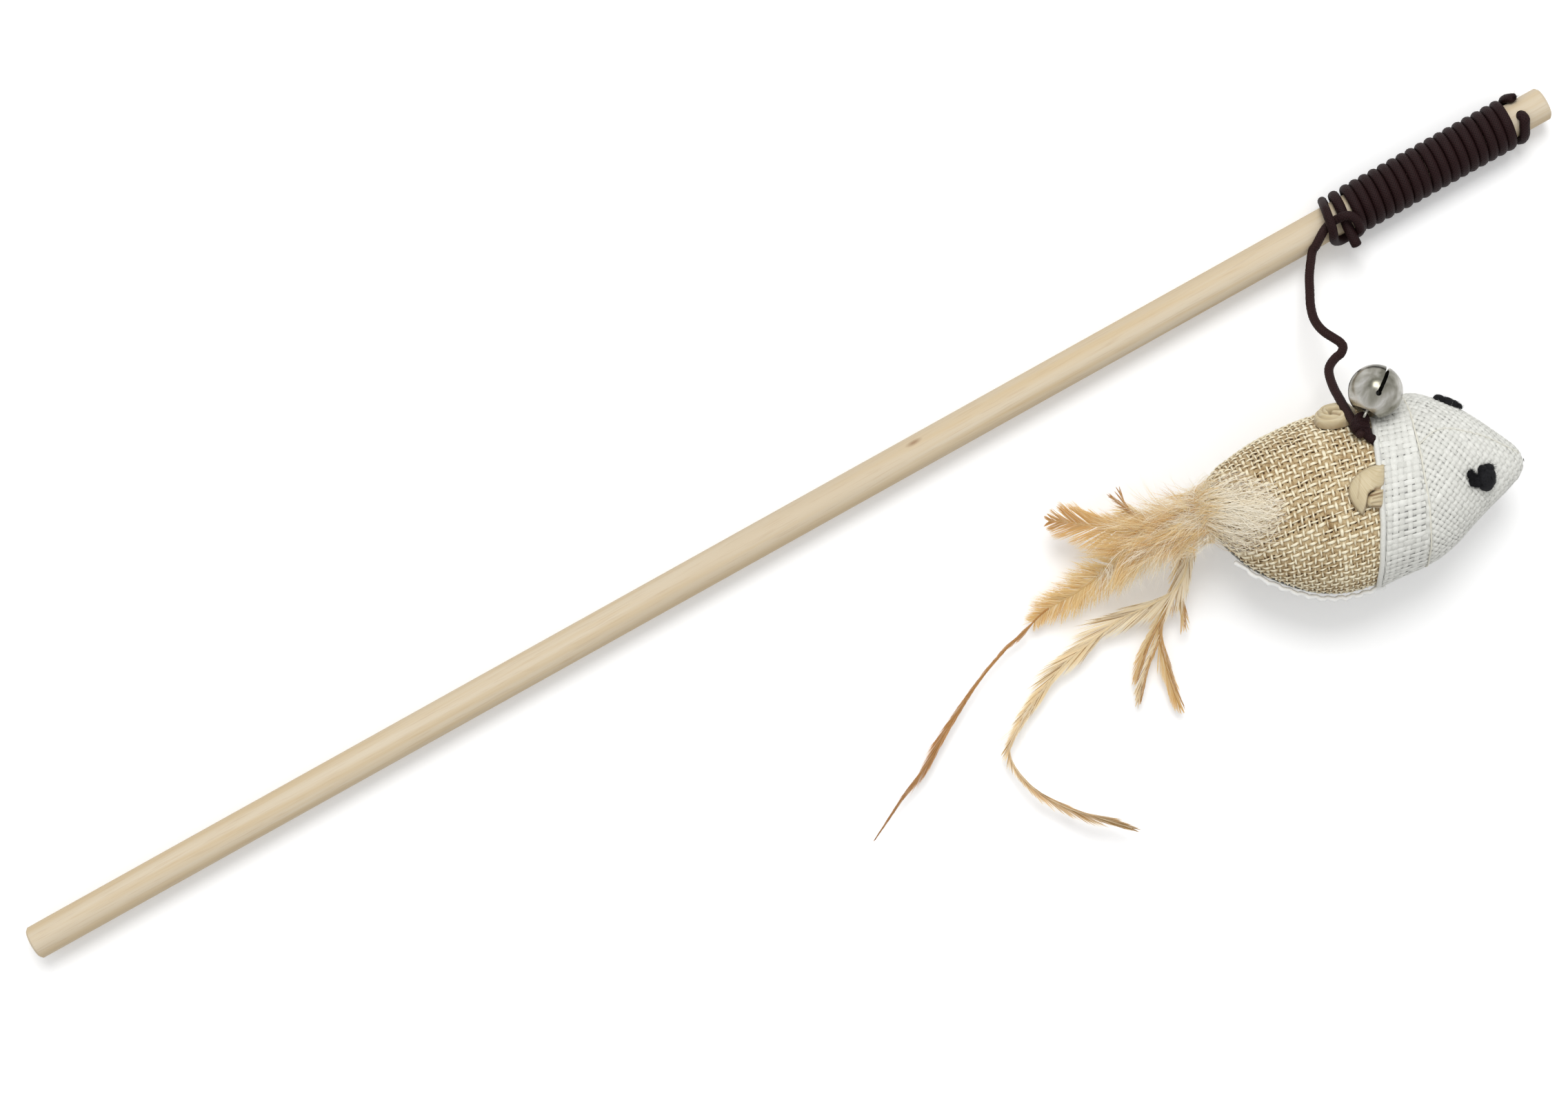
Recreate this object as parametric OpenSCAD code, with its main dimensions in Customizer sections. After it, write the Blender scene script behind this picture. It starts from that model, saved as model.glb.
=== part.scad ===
// Cat teaser wand: a wooden dowel with a wound cord, and a stuffed mouse
// with a bell and a feather tail tied to the cord.
// The stick lies along +X. The origin is the centre of its handle end face.

/* [Stick] */
// Length of the wooden stick
stick_l = 400; // [360:5:600]
// Diameter of the wooden stick
stick_d = 8; // [7:0.5:10]
// Width of the sanded edge at each end of the stick
end_ease = 0.5; // [0.2:0.1:1]
// Distance of the cross hole from the tip of the stick
hole_from_tip = 6.9; // [5:0.1:8]
// Play of the cord in the cross hole
hole_play = 0.3; // [0.2:0.1:0.6]

/* [Cord] */
// Diameter of the elastic cord
cord_d = 2; // [1.6:0.1:2.2]
// Gap between neighbouring turns of the winding
turn_gap = 0.48; // [0.45:0.01:0.8]
// Number of tight turns in the winding
turns = 17; // [8:1:20]
// Distance of the first full turn from the tip of the stick
winding_from_tip = 10.9; // [10.5:0.1:14]

/* [Mouse] */
// Length of the mouse from rump to nose
mouse_l = 75; // [70:1:80]
// Half of the width of the mouse
mouse_half_w = 20.8; // [19:0.1:22]
// Half of the height of the mouse
mouse_half_h = 18.5; // [17.5:0.1:19.5]
// Distance of the rump from the handle end, along the stick
rump_x = 282.5; // [270:0.5:290]
// Distance of the rump from the axis of the stick, across it
rump_away = 43.5; // [42:0.5:60]
// Thickness of the woven skin
skin_t = 0.8; // [0.6:0.1:1.2]
// Thickness of the folded collar band
collar_t = 0.8; // [0.6:0.1:1.2]
// Width of the dome of an eye
eye_d = 5.8; // [4:0.1:6.5]
// Height of the dome of an eye
eye_h = 2.3; // [1.5:0.1:3]
// Height of a folded ear above the skin
ear_h = 2.6; // [1.5:0.1:3.5]

/* [Bell] */
// Outer diameter of the bell
bell_d = 12.2; // [11:0.1:13]
// Thickness of the bell's sheet
bell_t = 0.4; // [0.3:0.05:0.6]
// Width of the bell's slots
slot_w = 0.9; // [0.6:0.1:1.2]
// Thickness of the bell's wire eye
eye_wire_d = 0.6; // [0.5:0.05:0.7]
// Diameter of the loose pellet
pellet_d = 3; // [2:0.1:4]

/* [Feathers] */
// Thickness of a quill
quill_d = 1; // [0.6:0.1:1.2]
// Thickness of a feather's vane
vane_t = 0.5; // [0.3:0.1:0.8]
// Straight reach of the top feather
hackle_l = 34; // [28:1:36]
// Straight reach of the fluffy plume
plume_l = 22; // [18:1:24]
// Straight reach of the small tufts
tuft_l = 17; // [14:1:18]
// Straight reach of the long thin feather
foxtail_l = 104; // [90:1:106]
// Straight reach of the curled feather
curl_l = 75; // [60:1:76]
// Straight reach of the split feather
split_l = 45; // [36:1:46]

/* [Hidden] */

// Clearance of a piece from what it rests on or in
seat = 0.1;
// Extra length of a cutting solid
over = 1;
pitch = cord_d + turn_gap;
stick_r = stick_d / 2;
cord_r = cord_d / 2;
// Radius of the winding's centre line
lay_r = stick_r + seat / 2 + cord_r;
// The surface everything lies on; the winding is flattened there by a tenth of the cord
floor_z = -(lay_r + cord_r) + cord_d / 10;
hole_x = stick_l - hole_from_tip;
first_turn_x = stick_l - winding_from_tip;
last_turn_x = first_turn_x - (turns - 1) * pitch;
knot_x = last_turn_x - pitch * 1.4;
// Rings to a full turn of wound cord
ring_count = 24;
// Radius of the cord's bends at the hole's mouths
bend_r = lay_r * sin(360 / ring_count);

// Unit vector along a vector
function unit(v) = v / norm(v);

// Smooth curve through points, with a number of steps to each stretch
function curve_at(p, i, t) =
    let (a = p[max(i - 1, 0)], b = p[i], c = p[i + 1], d = p[min(i + 2, len(p) - 1)])
    0.5 * (2 * b + (c - a) * t + (2 * a - 5 * b + 4 * c - d) * t * t
           + (3 * b - a - 3 * c + d) * t * t * t);
function curve(p, steps) =
    [for (i = [0 : len(p) - 2], k = [0 : steps - 1]) curve_at(p, i, k / steps), p[len(p) - 1]];

// Direction of a path at one of its points
function heading(p, i) = unit(p[min(i + 1, len(p) - 1)] - p[max(i - 1, 0)]);

// Side vectors of a path, each turned as little as possible from the one before
function square_to(v, t) = unit(v - (v * t) * t);
function sides_of(p, first) =
    [for (i = 0, s = square_to(first, heading(p, 0)); i < len(p);
          i = i + 1, s = square_to(s, heading(p, min(i, len(p) - 1)))) s];

// Faces of a closed sweep of rings, each ring with n points
function sweep_faces(rings, n) = [
    for (i = [0 : rings - 2], k = [0 : n - 1])
        let (a = i * n + k, b = i * n + (k + 1) % n)
            each [[a, b, b + n], [a, b + n, a + n]],
    [for (k = [n - 1 : -1 : 0]) k],
    [for (k = [0 : n - 1]) (rings - 1) * n + k]
];

// A cord along a path, kept above the floor
module cord_tube(path, r, sides, first) {
    side = sides_of(path, first);
    points = [
        for (i = [0 : len(path) - 1], k = [0 : sides - 1])
            let (lift = cross(heading(path, i), side[i]),
                 a = -360 * k / sides,
                 q = path[i] + r * (cos(a) * side[i] + sin(a) * lift))
                [q[0], q[1], max(q[2], floor_z)]
    ];
    polyhedron(points, sweep_faces(len(path), sides), convexity = 10);
}

// Least gap of a tube to itself, between points more than skip apart on its path
function least_gap(path, d, skip, reach) =
    min([for (i = [0 : len(path) - 1 - skip], j = [i + skip : min(i + reach, len(path) - 1)])
         norm(path[i] - path[j])]) - d;

// A place on the stick: distance along it, angle from the top toward the mouse, and layer
function on_stick(x, angle, layer) =
    let (r = lay_r + layer * cord_d)
        [x, -r * sin(angle), r * cos(angle)];

// The cord's free end below the cross hole: along the stick in cord diameters, angle, layer
end_shares = [[0.3, -58, 0.08], [-0.1, -76, 0.06], [-0.3, -96, 0.06], [-0.3, -118, 0.06],
              [-0.2, -136, 0.06], [-0.05, -152, 0.06]];
// Where the winding's last strand dives under the hitch and ends: same measures from the knot
tail_shares = [[-0.05, 14, 0], [-0.18, 30, 0.2], [-0.24, 42, 0.8], [-0.28, 51, 1.4], [-0.32, 58, 2]];
// The hitch: under the stick, over the top, round and back under itself
hitch_shares = [
    [-0.3, -180, 0], [-0.45, -150, 0], [-0.65, -120, 0], [-0.9, -90, 0], [-1.15, -62, 0],
    [-1.4, -40, 0.4], [-1.65, -22, 1], [-1.9, -6, 1.35], [-2.05, 10, 1.3], [-2.2, 25, 1],
    [-2.25, 40, 0.5], [-2.1, 56, 0.15], [-1.75, 71, 0], [-1.2, 82, 0], [-0.45, 84, 0],
    [0.2, 74, 0.1], [0.6, 58, 0.65], [0.9, 42, 1.15], [0.9, 24, 1.25], [0.5, 10, 1.2],
    [-0.15, 4, 1.1], [-0.8, 3, 0.65], [-1.4, 3, 0.1], [-2.1, 6, 0], [-2.9, 14, 0],
    [-3.7, 27, 0], [-4.4, 41, 0], [-5.1, 55, 0]
];

function first_loop_x(a) =
    first_turn_x + pitch * (1 - a) + (hole_x - first_turn_x - pitch) * pow(1 - a, 3);

cord_end_path = [for (s = end_shares) on_stick(hole_x + s[0] * cord_d, s[1], s[2])];
up_hole_path = [
    for (a = [0 : 30 : 90]) [hole_x, bend_r * (1 - sin(a)), -(lay_r - bend_r) - bend_r * cos(a)],
    [hole_x, 0, 0],
    for (a = [0 : 30 : 90]) [hole_x, -bend_r * (1 - cos(a)), lay_r - bend_r + bend_r * sin(a)]
];
first_loop_path = [
    for (i = [2 : ring_count - 1])
        let (a = i / ring_count) on_stick(first_loop_x(a), 360 * a, 0)
];
tight_path = [
    for (i = [0 : (turns - 1) * ring_count])
        let (a = i / ring_count) on_stick(first_turn_x - pitch * a, 360 * a, 0)
];
spread_path = [
    for (i = [1 : ring_count])
        let (a = i / ring_count)
            on_stick(last_turn_x - pitch * a - (last_turn_x - pitch - knot_x) * a * a, 360 * a, 0)
];
tail_path = [for (s = tail_shares) on_stick(knot_x + s[0] * cord_d, s[1], s[2])];
winding_path = concat(cord_end_path, up_hole_path, first_loop_path, tight_path, spread_path,
                      tail_path);
hitch_path = curve([for (s = hitch_shares) on_stick(knot_x + s[0] * cord_d, s[1], s[2])], 2);

// The free cord, from the stick's flank to the kink, and on to the knot at the mouse
upper_route = [
    [335, -5.5, 2.6], [333.6, -7.2, 2.9], [332.2, -9.2, 3.6], [330.8, -11.6, 4.7],
    [329.1, -14.5, 6.2], [328, -17.3, 7.8], [327.8, -19.6, 9.2], [328.2, -21.6, 10.4],
    [329, -23.4, 11.4], [329.8, -24.9, 12.1], [329.8, -26.5, 12.6], [328.6, -27.5, 12.9],
    [327, -27.8, 13.2]
];
lower_route = [
    [326.6, -27.9, 13.4], [325.2, -28.5, 14], [324, -29.5, 14.9], [323.2, -31.1, 16.2],
    [322.6, -33, 17.9], [322.2, -35.1, 19.8]
];

// Shape of the mouse, rump to nose: place along it, half width, half height, and
// sideways shift of the centre, as shares of its length and half sizes
form_shares = [
    [0.03, 0.27, 0.27, 0.03], [0.065, 0.43, 0.43, 0], [0.12, 0.605, 0.6, -0.06],
    [0.19, 0.76, 0.76, -0.095], [0.27, 0.885, 0.89, -0.12], [0.36, 0.975, 0.98, -0.13],
    [0.45, 1, 1, -0.125], [0.55, 0.98, 0.95, -0.09], [0.62, 0.957, 0.92, -0.05],
    [0.7, 0.923, 0.885, 0], [0.76, 0.813, 0.79, 0.02], [0.82, 0.663, 0.65, 0.045],
    [0.88, 0.495, 0.49, 0.04], [0.93, 0.346, 0.34, 0.02], [0.965, 0.236, 0.23, 0.01],
    [0.988, 0.15, 0.145, 0], [1, 0.06, 0.06, 0]
];
width_share = [for (f = form_shares) [f[0], f[1]]];
height_share = [for (f = form_shares) [f[0], f[2]]];
shift_share = [for (f = form_shares) [f[0], f[3]]];
// Lean of the rings, so that the collar sits a little askew
lean_share = [[0.2, 0], [0.52, 0.1], [0.59, 0.1], [0.66, 0]];
mouse_turn = -19.8;
// Angle of the mouse's back seam from its level side
back = 56;
mouse_mid_z = floor_z + mouse_half_h - 0.5 * skin_t;
neck_share = 0.59;
collar_rear_share = 0.533;
collar_front_share = 0.657;
// Angle between neighbouring points of a ring
ring_step = 15;
// Half angle of the burlap skin, from the back seam
cover_angle = 120;
// Angle left open along each belly seam
seam_angle = 0.4;

// A point of the mouse at a share of its length and an angle, depth inside its skin
function mouse_pt(s, a, depth) =
    let (side = (lookup(s, shift_share) + lookup(s, width_share) * cos(a)) * mouse_half_w
                - depth * cos(a),
         rise = (lookup(s, height_share) * mouse_half_h - depth) * sin(a),
         along = mouse_l * s + lookup(s, lean_share) * side)
        [rump_x + along * cos(mouse_turn) - side * sin(mouse_turn),
         -rump_away + along * sin(mouse_turn) + side * cos(mouse_turn),
         max(mouse_mid_z + rise, floor_z + max(depth, 0))];

// A point in the plane of the mouse, from its rump
function tail_pt(along, side, z) =
    [rump_x + along * cos(mouse_turn) - side * sin(mouse_turn),
     -rump_away + along * sin(mouse_turn) + side * cos(mouse_turn), z];

// Outward direction of the mouse's skin
function skin_normal(s, a) =
    let (e = 0.01)
        unit(cross(mouse_pt(s, a + 5, 0) - mouse_pt(s, a - 5, 0),
                   mouse_pt(s + e, a, 0) - mouse_pt(s - e, a, 0)));

function between(list, lo, hi) = [for (f = list) if (f[0] > lo && f[0] < hi) f[0]];
function stations(lo, hi) = concat([lo], between(form_shares, lo, hi), [hi]);
full_ring = [for (a = [0 : ring_step : 359]) back - a];
cover_ring = [for (a = [cover_angle : -ring_step : -cover_angle]) back + a];
belly_ring = [for (a = [360 - cover_angle : -ring_step : cover_angle])
              back + min(max(a, cover_angle + seam_angle), 360 - cover_angle - seam_angle)];

// Faces of one skin of m rings with n points, first point number at start
function skin_faces(m, n, start, flip, closed) = [
    for (i = [0 : m - 2], k = [0 : n - (closed ? 1 : 2)])
        let (a = start + i * n + k, b = start + i * n + (k + 1) % n)
            each flip ? [[a, b + n, b], [a, a + n, b + n]] : [[a, b, b + n], [a, b + n, a + n]]
];

// A wall between two depths, open at both ends; closed goes all the way round
module band(list, ring, outer, inner, closed) {
    n = len(ring);
    m = len(list);
    half = n * m;
    points = concat([for (s = list, a = ring) mouse_pt(s, a, outer)],
                    [for (s = list, a = ring) mouse_pt(s, a, inner)]);
    last = (m - 1) * n;
    rims = [
        for (k = [0 : n - (closed ? 1 : 2)])
            let (j = (k + 1) % n)
                each [[k, half + k, half + j], [k, half + j, j],
                      [last + k, last + j, half + last + j], [last + k, half + last + j, half + last + k]]
    ];
    edges = closed ? [] : [
        for (i = [0 : m - 2])
            let (a = i * n, b = a + n, c = a + n - 1, d = c + n)
                each [[a, b, half + b], [a, half + b, half + a],
                      [c, half + c, half + d], [c, half + d, d]]
    ];
    polyhedron(points, concat(skin_faces(m, n, 0, false, closed),
                              skin_faces(m, n, half, true, closed), rims, edges), convexity = 6);
}

// A cup that closes at its far end
module cup(outer_list, inner_list, outer, inner) {
    n = len(full_ring);
    a = len(outer_list);
    b = len(inner_list);
    half = n * a;
    points = concat([for (s = outer_list, t = full_ring) mouse_pt(s, t, outer)],
                    [for (s = inner_list, t = full_ring) mouse_pt(s, t, inner)]);
    rims = [for (k = [0 : n - 1])
            let (j = (k + 1) % n) each [[k, half + k, half + j], [k, half + j, j]]];
    ends = [[for (k = [0 : n - 1]) (a - 1) * n + k],
            [for (k = [n - 1 : -1 : 0]) half + (b - 1) * n + k]];
    polyhedron(points, concat(skin_faces(a, n, 0, false, true),
                              skin_faces(b, n, half, true, true), rims, ends), convexity = 6);
}

// A soft pad lying on the skin between two stations: its crown follows shares across it
module pad(list, mid, half_angles, height, crown, lift) {
    n = len(crown);
    m = len(list);
    half = n * m;
    function angle(i, k) = mid - half_angles[i] * (2 * k / (n - 1) - 1);
    function puff(i) = sqrt(max(0, 1 - pow(1 - 2 * min(i, m - 1) / (m - 1), 4)));
    points = concat(
        [for (i = [0 : m - 1], k = [0 : n - 1])
            mouse_pt(list[i], angle(i, k), -lift - height * (0.16 + crown[k] * (0.25 + 0.75 * puff(i))))],
        [for (i = [0 : m - 1], k = [0 : n - 1]) mouse_pt(list[i], angle(i, k), -lift)]);
    last = (m - 1) * n;
    rims = [
        for (k = [0 : n - 2])
            each [[k, half + k, half + k + 1], [k, half + k + 1, k + 1],
                  [last + k, last + k + 1, half + last + k + 1],
                  [last + k, half + last + k + 1, half + last + k]]
    ];
    edges = [
        for (i = [0 : m - 2])
            let (a = i * n, b = a + n, c = a + n - 1, d = c + n)
                each [[a, b, half + b], [a, half + b, half + a],
                      [c, half + c, half + d], [c, half + d, d]]
    ];
    polyhedron(points, concat(skin_faces(m, n, 0, false, false),
                              skin_faces(m, n, half, true, false), rims, edges), convexity = 6);
}

// Turns local +Z to a direction
module aim(v) {
    rotate([0, acos(v[2] / norm(v)), atan2(v[1], v[0])]) children();
}

// The bell's place against the collar, its axis, and the knot behind it
bell_r = bell_d / 2;
bell_turn = 34.5;
bell_rise = -4;
bell_axis = [cos(bell_rise) * cos(bell_turn), cos(bell_rise) * sin(bell_turn), sin(bell_rise)];
bell_share = 0.532;
bell_angle = 35;
bell_c = mouse_pt(bell_share, bell_angle, -(collar_t + 2 * seat + bell_r));
// Flat base of the bell below its centre, and half width of the wire eye
base_h = bell_r * 0.85;
eye_half = 1.25;
// Radius of the stretched cord in the knot, and in its loop through the eye
tie_r = 0.75;
loop_r = 0.65;
// Radius of that loop, round the eye's wire
tie_loop_r = loop_r + eye_wire_d / 2 + 2 * seat;
// Straight height of the wire eye above the base, so that its top lies inside the loop
eye_leg = seat + loop_r + tie_loop_r - eye_half;
tie_c = bell_c - bell_axis * (base_h + loop_r + seat + tie_loop_r);
// Outer radius of the knot, which sits just behind the wire eye
knot_r = 2.5 * tie_r;
knot_c = tie_c - bell_axis * (eye_wire_d / 2 + 2 * seat + knot_r);
// Way of the cord into the knot, and of its end out to the collar
entry = unit(knot_c - lower_route[len(lower_route) - 1]);
stub_end = mouse_pt(collar_rear_share - 0.013, back + 2, -(cord_r + 2 * seat));
stub_way = unit(stub_end - knot_c);
lower_path = concat(curve(concat(lower_route, [knot_c - entry * (knot_r + seat + cord_d)]), 2),
                    [knot_c - entry * (knot_r + seat + cord_r), knot_c - entry * (knot_r + 3 * seat)]);

// Wooden dowel with sanded ends and a cross hole for the cord
module stick() {
    color("burlywood")
    difference() {
        rotate([0, 90, 0]) {
            cylinder(h = end_ease, r1 = stick_r - end_ease, r2 = stick_r, $fn = 96);
            translate([0, 0, end_ease])
                cylinder(h = stick_l - 2 * end_ease, r = stick_r, $fn = 96);
            translate([0, 0, stick_l - end_ease])
                cylinder(h = end_ease, r1 = stick_r, r2 = stick_r - end_ease, $fn = 96);
        }
        translate([hole_x, 0, -stick_r - over])
            cylinder(h = stick_d + 2 * over, r = cord_r + hole_play / 2, $fn = 48);
    }
}

// One unbroken cord: free end, cross hole, tight turns, spread strand and cut tail
module cord_winding() {
    echo(winding_least_gap = least_gap(winding_path, cord_d, 14, 34));
    color([0.17, 0.1, 0.1]) cord_tube(winding_path, cord_r, 6, [0, 1, 0]);
}

// The hitch that holds the free cord, over and under the winding's last strand
module hitch_strand() {
    echo(hitch_least_gap = least_gap(hitch_path, cord_d, 8, len(hitch_path)));
    color([0.17, 0.1, 0.1]) cord_tube(hitch_path, cord_r, 6, [1, 0, 0]);
}

module upper_cord() {
    color([0.2, 0.12, 0.12]) cord_tube(curve(upper_route, 2), cord_r, 8, [0, 0, 1]);
}

module lower_cord() {
    color([0.2, 0.12, 0.12]) cord_tube(lower_path, cord_r, 8, [0, 0, 1]);
}

// Two wraps round the cord, with a loop through the bell's wire eye
module tie_knot() {
    color([0.17, 0.1, 0.1]) {
        translate(knot_c) aim(entry) {
            sphere(knot_r * 0.85, $fn = 48);
            for (z = [-1, 1])
                translate([0, 0, z * tie_r * 0.6])
                    rotate_extrude($fn = 48) translate([knot_r - 1.15 * tie_r, 0]) circle(r = tie_r, $fn = 32);
        }
        translate(tie_c) rotate([0, -bell_rise, bell_turn])
            rotate_extrude($fn = 48) translate([tie_loop_r, 0]) circle(r = loop_r, $fn = 32);
    }
}

// The cord's end, from the knot to the seam at the collar's edge
module cord_stub() {
    color([0.17, 0.1, 0.1])
        cord_tube([knot_c + stub_way * (knot_r + 5 * seat), (knot_c + stub_end) / 2, stub_end],
                  cord_r, 8, [0, 0, 1]);
}

module body_skin() {
    color("tan") band(stations(form_shares[0][0], neck_share - seat / mouse_l), cover_ring, 0, skin_t, false);
}

module belly_panel() {
    color("whitesmoke") band(stations(form_shares[0][0], neck_share - seat / mouse_l), belly_ring, 0, skin_t, false);
}

module head_skin() {
    color("whitesmoke")
        cup(stations(neck_share, 1), stations(neck_share, 0.975), 0, skin_t);
}

module collar_band() {
    color("white")
        band(stations(collar_rear_share, collar_front_share), full_ring, -seat - collar_t, -seat, true);
}

// Fibre filling, clear of the skins round it
module stuffing() {
    list = stations(0.12, 0.965);
    n = len(full_ring);
    depth = skin_t + 3 * seat;
    points = [for (s = list, a = full_ring) mouse_pt(s, a, depth)];
    color("ivory") polyhedron(points, sweep_faces(len(list), n), convexity = 4);
}

ear_half_shares = [0.55, 0.8, 0.95, 1, 1, 0.95];
ear_crown = [0, 0.55, 0.85, 1, 0.95, 0.6, 0.8, 0.55, 0];
ear_rise_shares = [0, 0.12, 0.3, 0.52, 0.76, 1];

// A folded leaf ear that lies back on the skin, between two stations
module ear(mid, rear, front, spread) {
    list = [for (s = ear_rise_shares) rear + (front - rear) * s];
    color("wheat") pad(list, mid, [for (h = ear_half_shares) h * spread], ear_h, ear_crown, seat);
}

module ear_near() { ear(back + 28, 0.415, 0.526, 13.5); }

module ear_far() { ear(back - 31, 0.365, 0.457, 12); }

// A low black dome with a small knot of yarn beside it
module eye(s, a, knot_turn) {
    r = eye_d / 2;
    knot_r = r / 2;
    color("black")
    translate(mouse_pt(s, a, 0) + seat * skin_normal(s, a)) aim(skin_normal(s, a)) {
        intersection() {
            translate([0, 0, eye_h - r]) sphere(r, $fn = 48);
            cylinder(h = eye_h, r = r, $fn = 48);
        }
        rotate([0, 0, knot_turn]) translate([r, 0, 0])
            intersection() {
                translate([0, 0, knot_r / 2]) sphere(knot_r, $fn = 32);
                cylinder(h = knot_d_of(knot_r), r = knot_r, $fn = 32);
            }
    }
}
function knot_d_of(r) = 2 * r;

module eye_near() { eye(0.857, back + 47, 160); }

module eye_far() { eye(0.787, back - 44, 20); }

// Loose down over the rump, where the feathers come out
module rump_fluff() {
    list = [0.035, 0.065, 0.09, 0.12, 0.155, 0.19, 0.215];
    halves = [70, 62, 55, 48, 40, 32, 22];
    crown = [0, 0.4, 0.75, 0.95, 1, 0.9, 0.95, 0.7, 0.35, 0];
    color("antiquewhite") pad(list, back + 34, halves, 2 * ear_h / 3, crown, 3 * seat);
}

// The bell's frame: centre at the origin, slots at +Z and the eye at -Z
module at_bell() {
    translate(bell_c) rotate([0, 90 - bell_rise, bell_turn]) children();
}

// Round sheet shell with a flat base and two crossing slots
module bell_shell() {
    inner = bell_r - bell_t;
    slot_low = -bell_r * 0.18;
    color("silver") at_bell()
    difference() {
        intersection() {
            sphere(bell_r, $fn = 96);
            translate([0, 0, -base_h]) cylinder(h = base_h + bell_r, r = bell_r, $fn = 96);
        }
        intersection() {
            sphere(inner, $fn = 96);
            translate([0, 0, bell_t - base_h]) cylinder(h = base_h + bell_r, r = bell_r, $fn = 96);
        }
        for (a = [0, 90]) rotate([0, 0, a]) {
            translate([-bell_r - over, -slot_w / 2, slot_low])
                cube([bell_d + 2 * over, slot_w, bell_d]);
            translate([-bell_r - over, 0, slot_low]) rotate([0, 90, 0])
                cylinder(h = bell_d + 2 * over, r = slot_w * 0.7, $fn = 32);
        }
        for (x = [-1, 1])
            translate([x * eye_half, 0, -base_h - over])
                cylinder(h = 2 * over + bell_t, r = eye_wire_d / 2 + seat / 2, $fn = 24);
    }
}

// Wire staple whose legs pass through the bell's base
module bell_eye() {
    wire_r = eye_wire_d / 2;
    color("gainsboro") at_bell() {
        for (x = [-1, 1])
            translate([x * eye_half, 0, -base_h - eye_leg])
                cylinder(h = eye_leg + 2 * bell_t, r = wire_r, $fn = 24);
        translate([0, 0, -base_h - eye_leg]) rotate([-90, 0, 0])
            rotate_extrude(angle = 180, $fn = 48) translate([eye_half, 0]) circle(r = wire_r, $fn = 24);
    }
}

module bell_pellet() {
    color("dimgray")
        translate(bell_c - [0, 0, bell_r - bell_t - seat - pellet_d / 2])
            sphere(pellet_d / 2, $fn = 32);
}

// A feather along a path: quill ridge in the middle, vane half widths along it
module feather(path, widths, quill, vane = vane_t) {
    count = len(path);
    points = [
        for (i = [0 : count - 1])
            let (t = heading(path, i), side = unit(cross([0, 0, 1], t)), up = cross(t, side),
                 f = i / (count - 1) * (len(widths) - 1),
                 j = min(floor(f), len(widths) - 2),
                 w = widths[j] + (widths[j + 1] - widths[j]) * (f - j),
                 q = min(quill / 2, w / 2) * (1 - 0.6 * i / (count - 1)),
                 v = vane / 2 * (1 - 0.5 * i / (count - 1)))
                for (c = [[w, 0], [q, v], [0, max(q, v)], [-q, v],
                          [-w, 0], [-q, -v], [0, -max(q, v)], [q, -v]])
                    path[i] + side * c[0] - up * c[1]
    ];
    polyhedron(points, sweep_faces(count, 8), convexity = 10);
}

// Heights of the quills in the rump, one above another
quill_gap = quill_d + 2 * seat;
function level_z(level) = mouse_mid_z + (level + 0.5) * quill_gap;
function root(level) = tail_pt(mouse_l * 0.055, 0, level_z(level));

// Feather routes from the rump: back, across and up, as shares of each feather's reach
plume_shares = [[0.1, 0, -0.01], [-0.1, -0.04, 0], [-0.34, -0.12, -0.05], [-0.6, -0.18, -0.14],
                [-0.85, -0.3, -0.22]];
hackle_shares = [[0.03, 0.01, 0], [-0.16, 0.02, -0.06], [-0.33, 0, -0.13], [-0.53, -0.01, -0.18],
                 [-0.73, 0.04, -0.21], [-0.87, 0.09, -0.23], [-0.98, 0.11, -0.25]];
tuft_shares = [[0.1, 0.02, 0], [-0.25, 0.1, -0.05], [-0.55, 0.18, -0.16], [-0.78, 0.4, -0.26],
               [-0.85, 0.64, -0.3]];
tuft_low_shares = [[-0.55, 0.18, -0.16], [-0.82, 0.28, -0.28], [-1.02, 0.5, -0.34]];
foxtail_shares = [[0.01, 0, 0], [-0.06, -0.03, -0.02], [-0.12, -0.055, -0.05], [-0.22, -0.1, -0.09],
                  [-0.29, -0.135, -0.11], [-0.355, -0.16, -0.125], [-0.41, -0.2, -0.13],
                  [-0.455, -0.23, -0.13], [-0.52, -0.285, -0.13], [-0.6, -0.37, -0.13],
                  [-0.665, -0.45, -0.13], [-0.73, -0.515, -0.13], [-0.81, -0.6, -0.13]];
curl_shares = [[0.01, -0.01, 0], [-0.03, -0.11, -0.05], [-0.08, -0.21, -0.09], [-0.17, -0.255, -0.12],
               [-0.27, -0.285, -0.14], [-0.36, -0.335, -0.15], [-0.455, -0.39, -0.155],
               [-0.535, -0.46, -0.16], [-0.6, -0.525, -0.16], [-0.645, -0.58, -0.16],
               [-0.67, -0.625, -0.16], [-0.665, -0.68, -0.16], [-0.625, -0.75, -0.15],
               [-0.565, -0.805, -0.145], [-0.505, -0.845, -0.135], [-0.43, -0.88, -0.125],
               [-0.34, -0.925, -0.11]];
split_shares = [[0.02, -0.02, 0], [-0.07, -0.2, -0.1], [-0.125, -0.36, -0.165], [-0.19, -0.455, -0.2],
                [-0.24, -0.59, -0.235], [-0.23, -0.74, -0.25], [-0.215, -0.87, -0.255],
                [-0.19, -0.98, -0.255]];
split_side_shares = [
    [[-0.19, -0.455, -0.2], [-0.3, -0.61, -0.24], [-0.395, -0.79, -0.25]],
    [[-0.24, -0.59, -0.235], [-0.33, -0.74, -0.25], [-0.395, -0.9, -0.255]],
    [[-0.125, -0.36, -0.165], [-0.11, -0.455, -0.19], [-0.115, -0.54, -0.2]]
];

function route(shares, reach, level) =
    [for (s = shares) tail_pt(s[0] * reach, s[1] * reach, level_z(level) + s[2] * reach)];

module plume() {
    color("moccasin")
        feather(curve(concat([root(2)], route(plume_shares, plume_l, 2)), 3),
                plume_l * [0.03, 0.05, 0.22, 0.34, 0.3, 0.16], quill_d);
}

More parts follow.
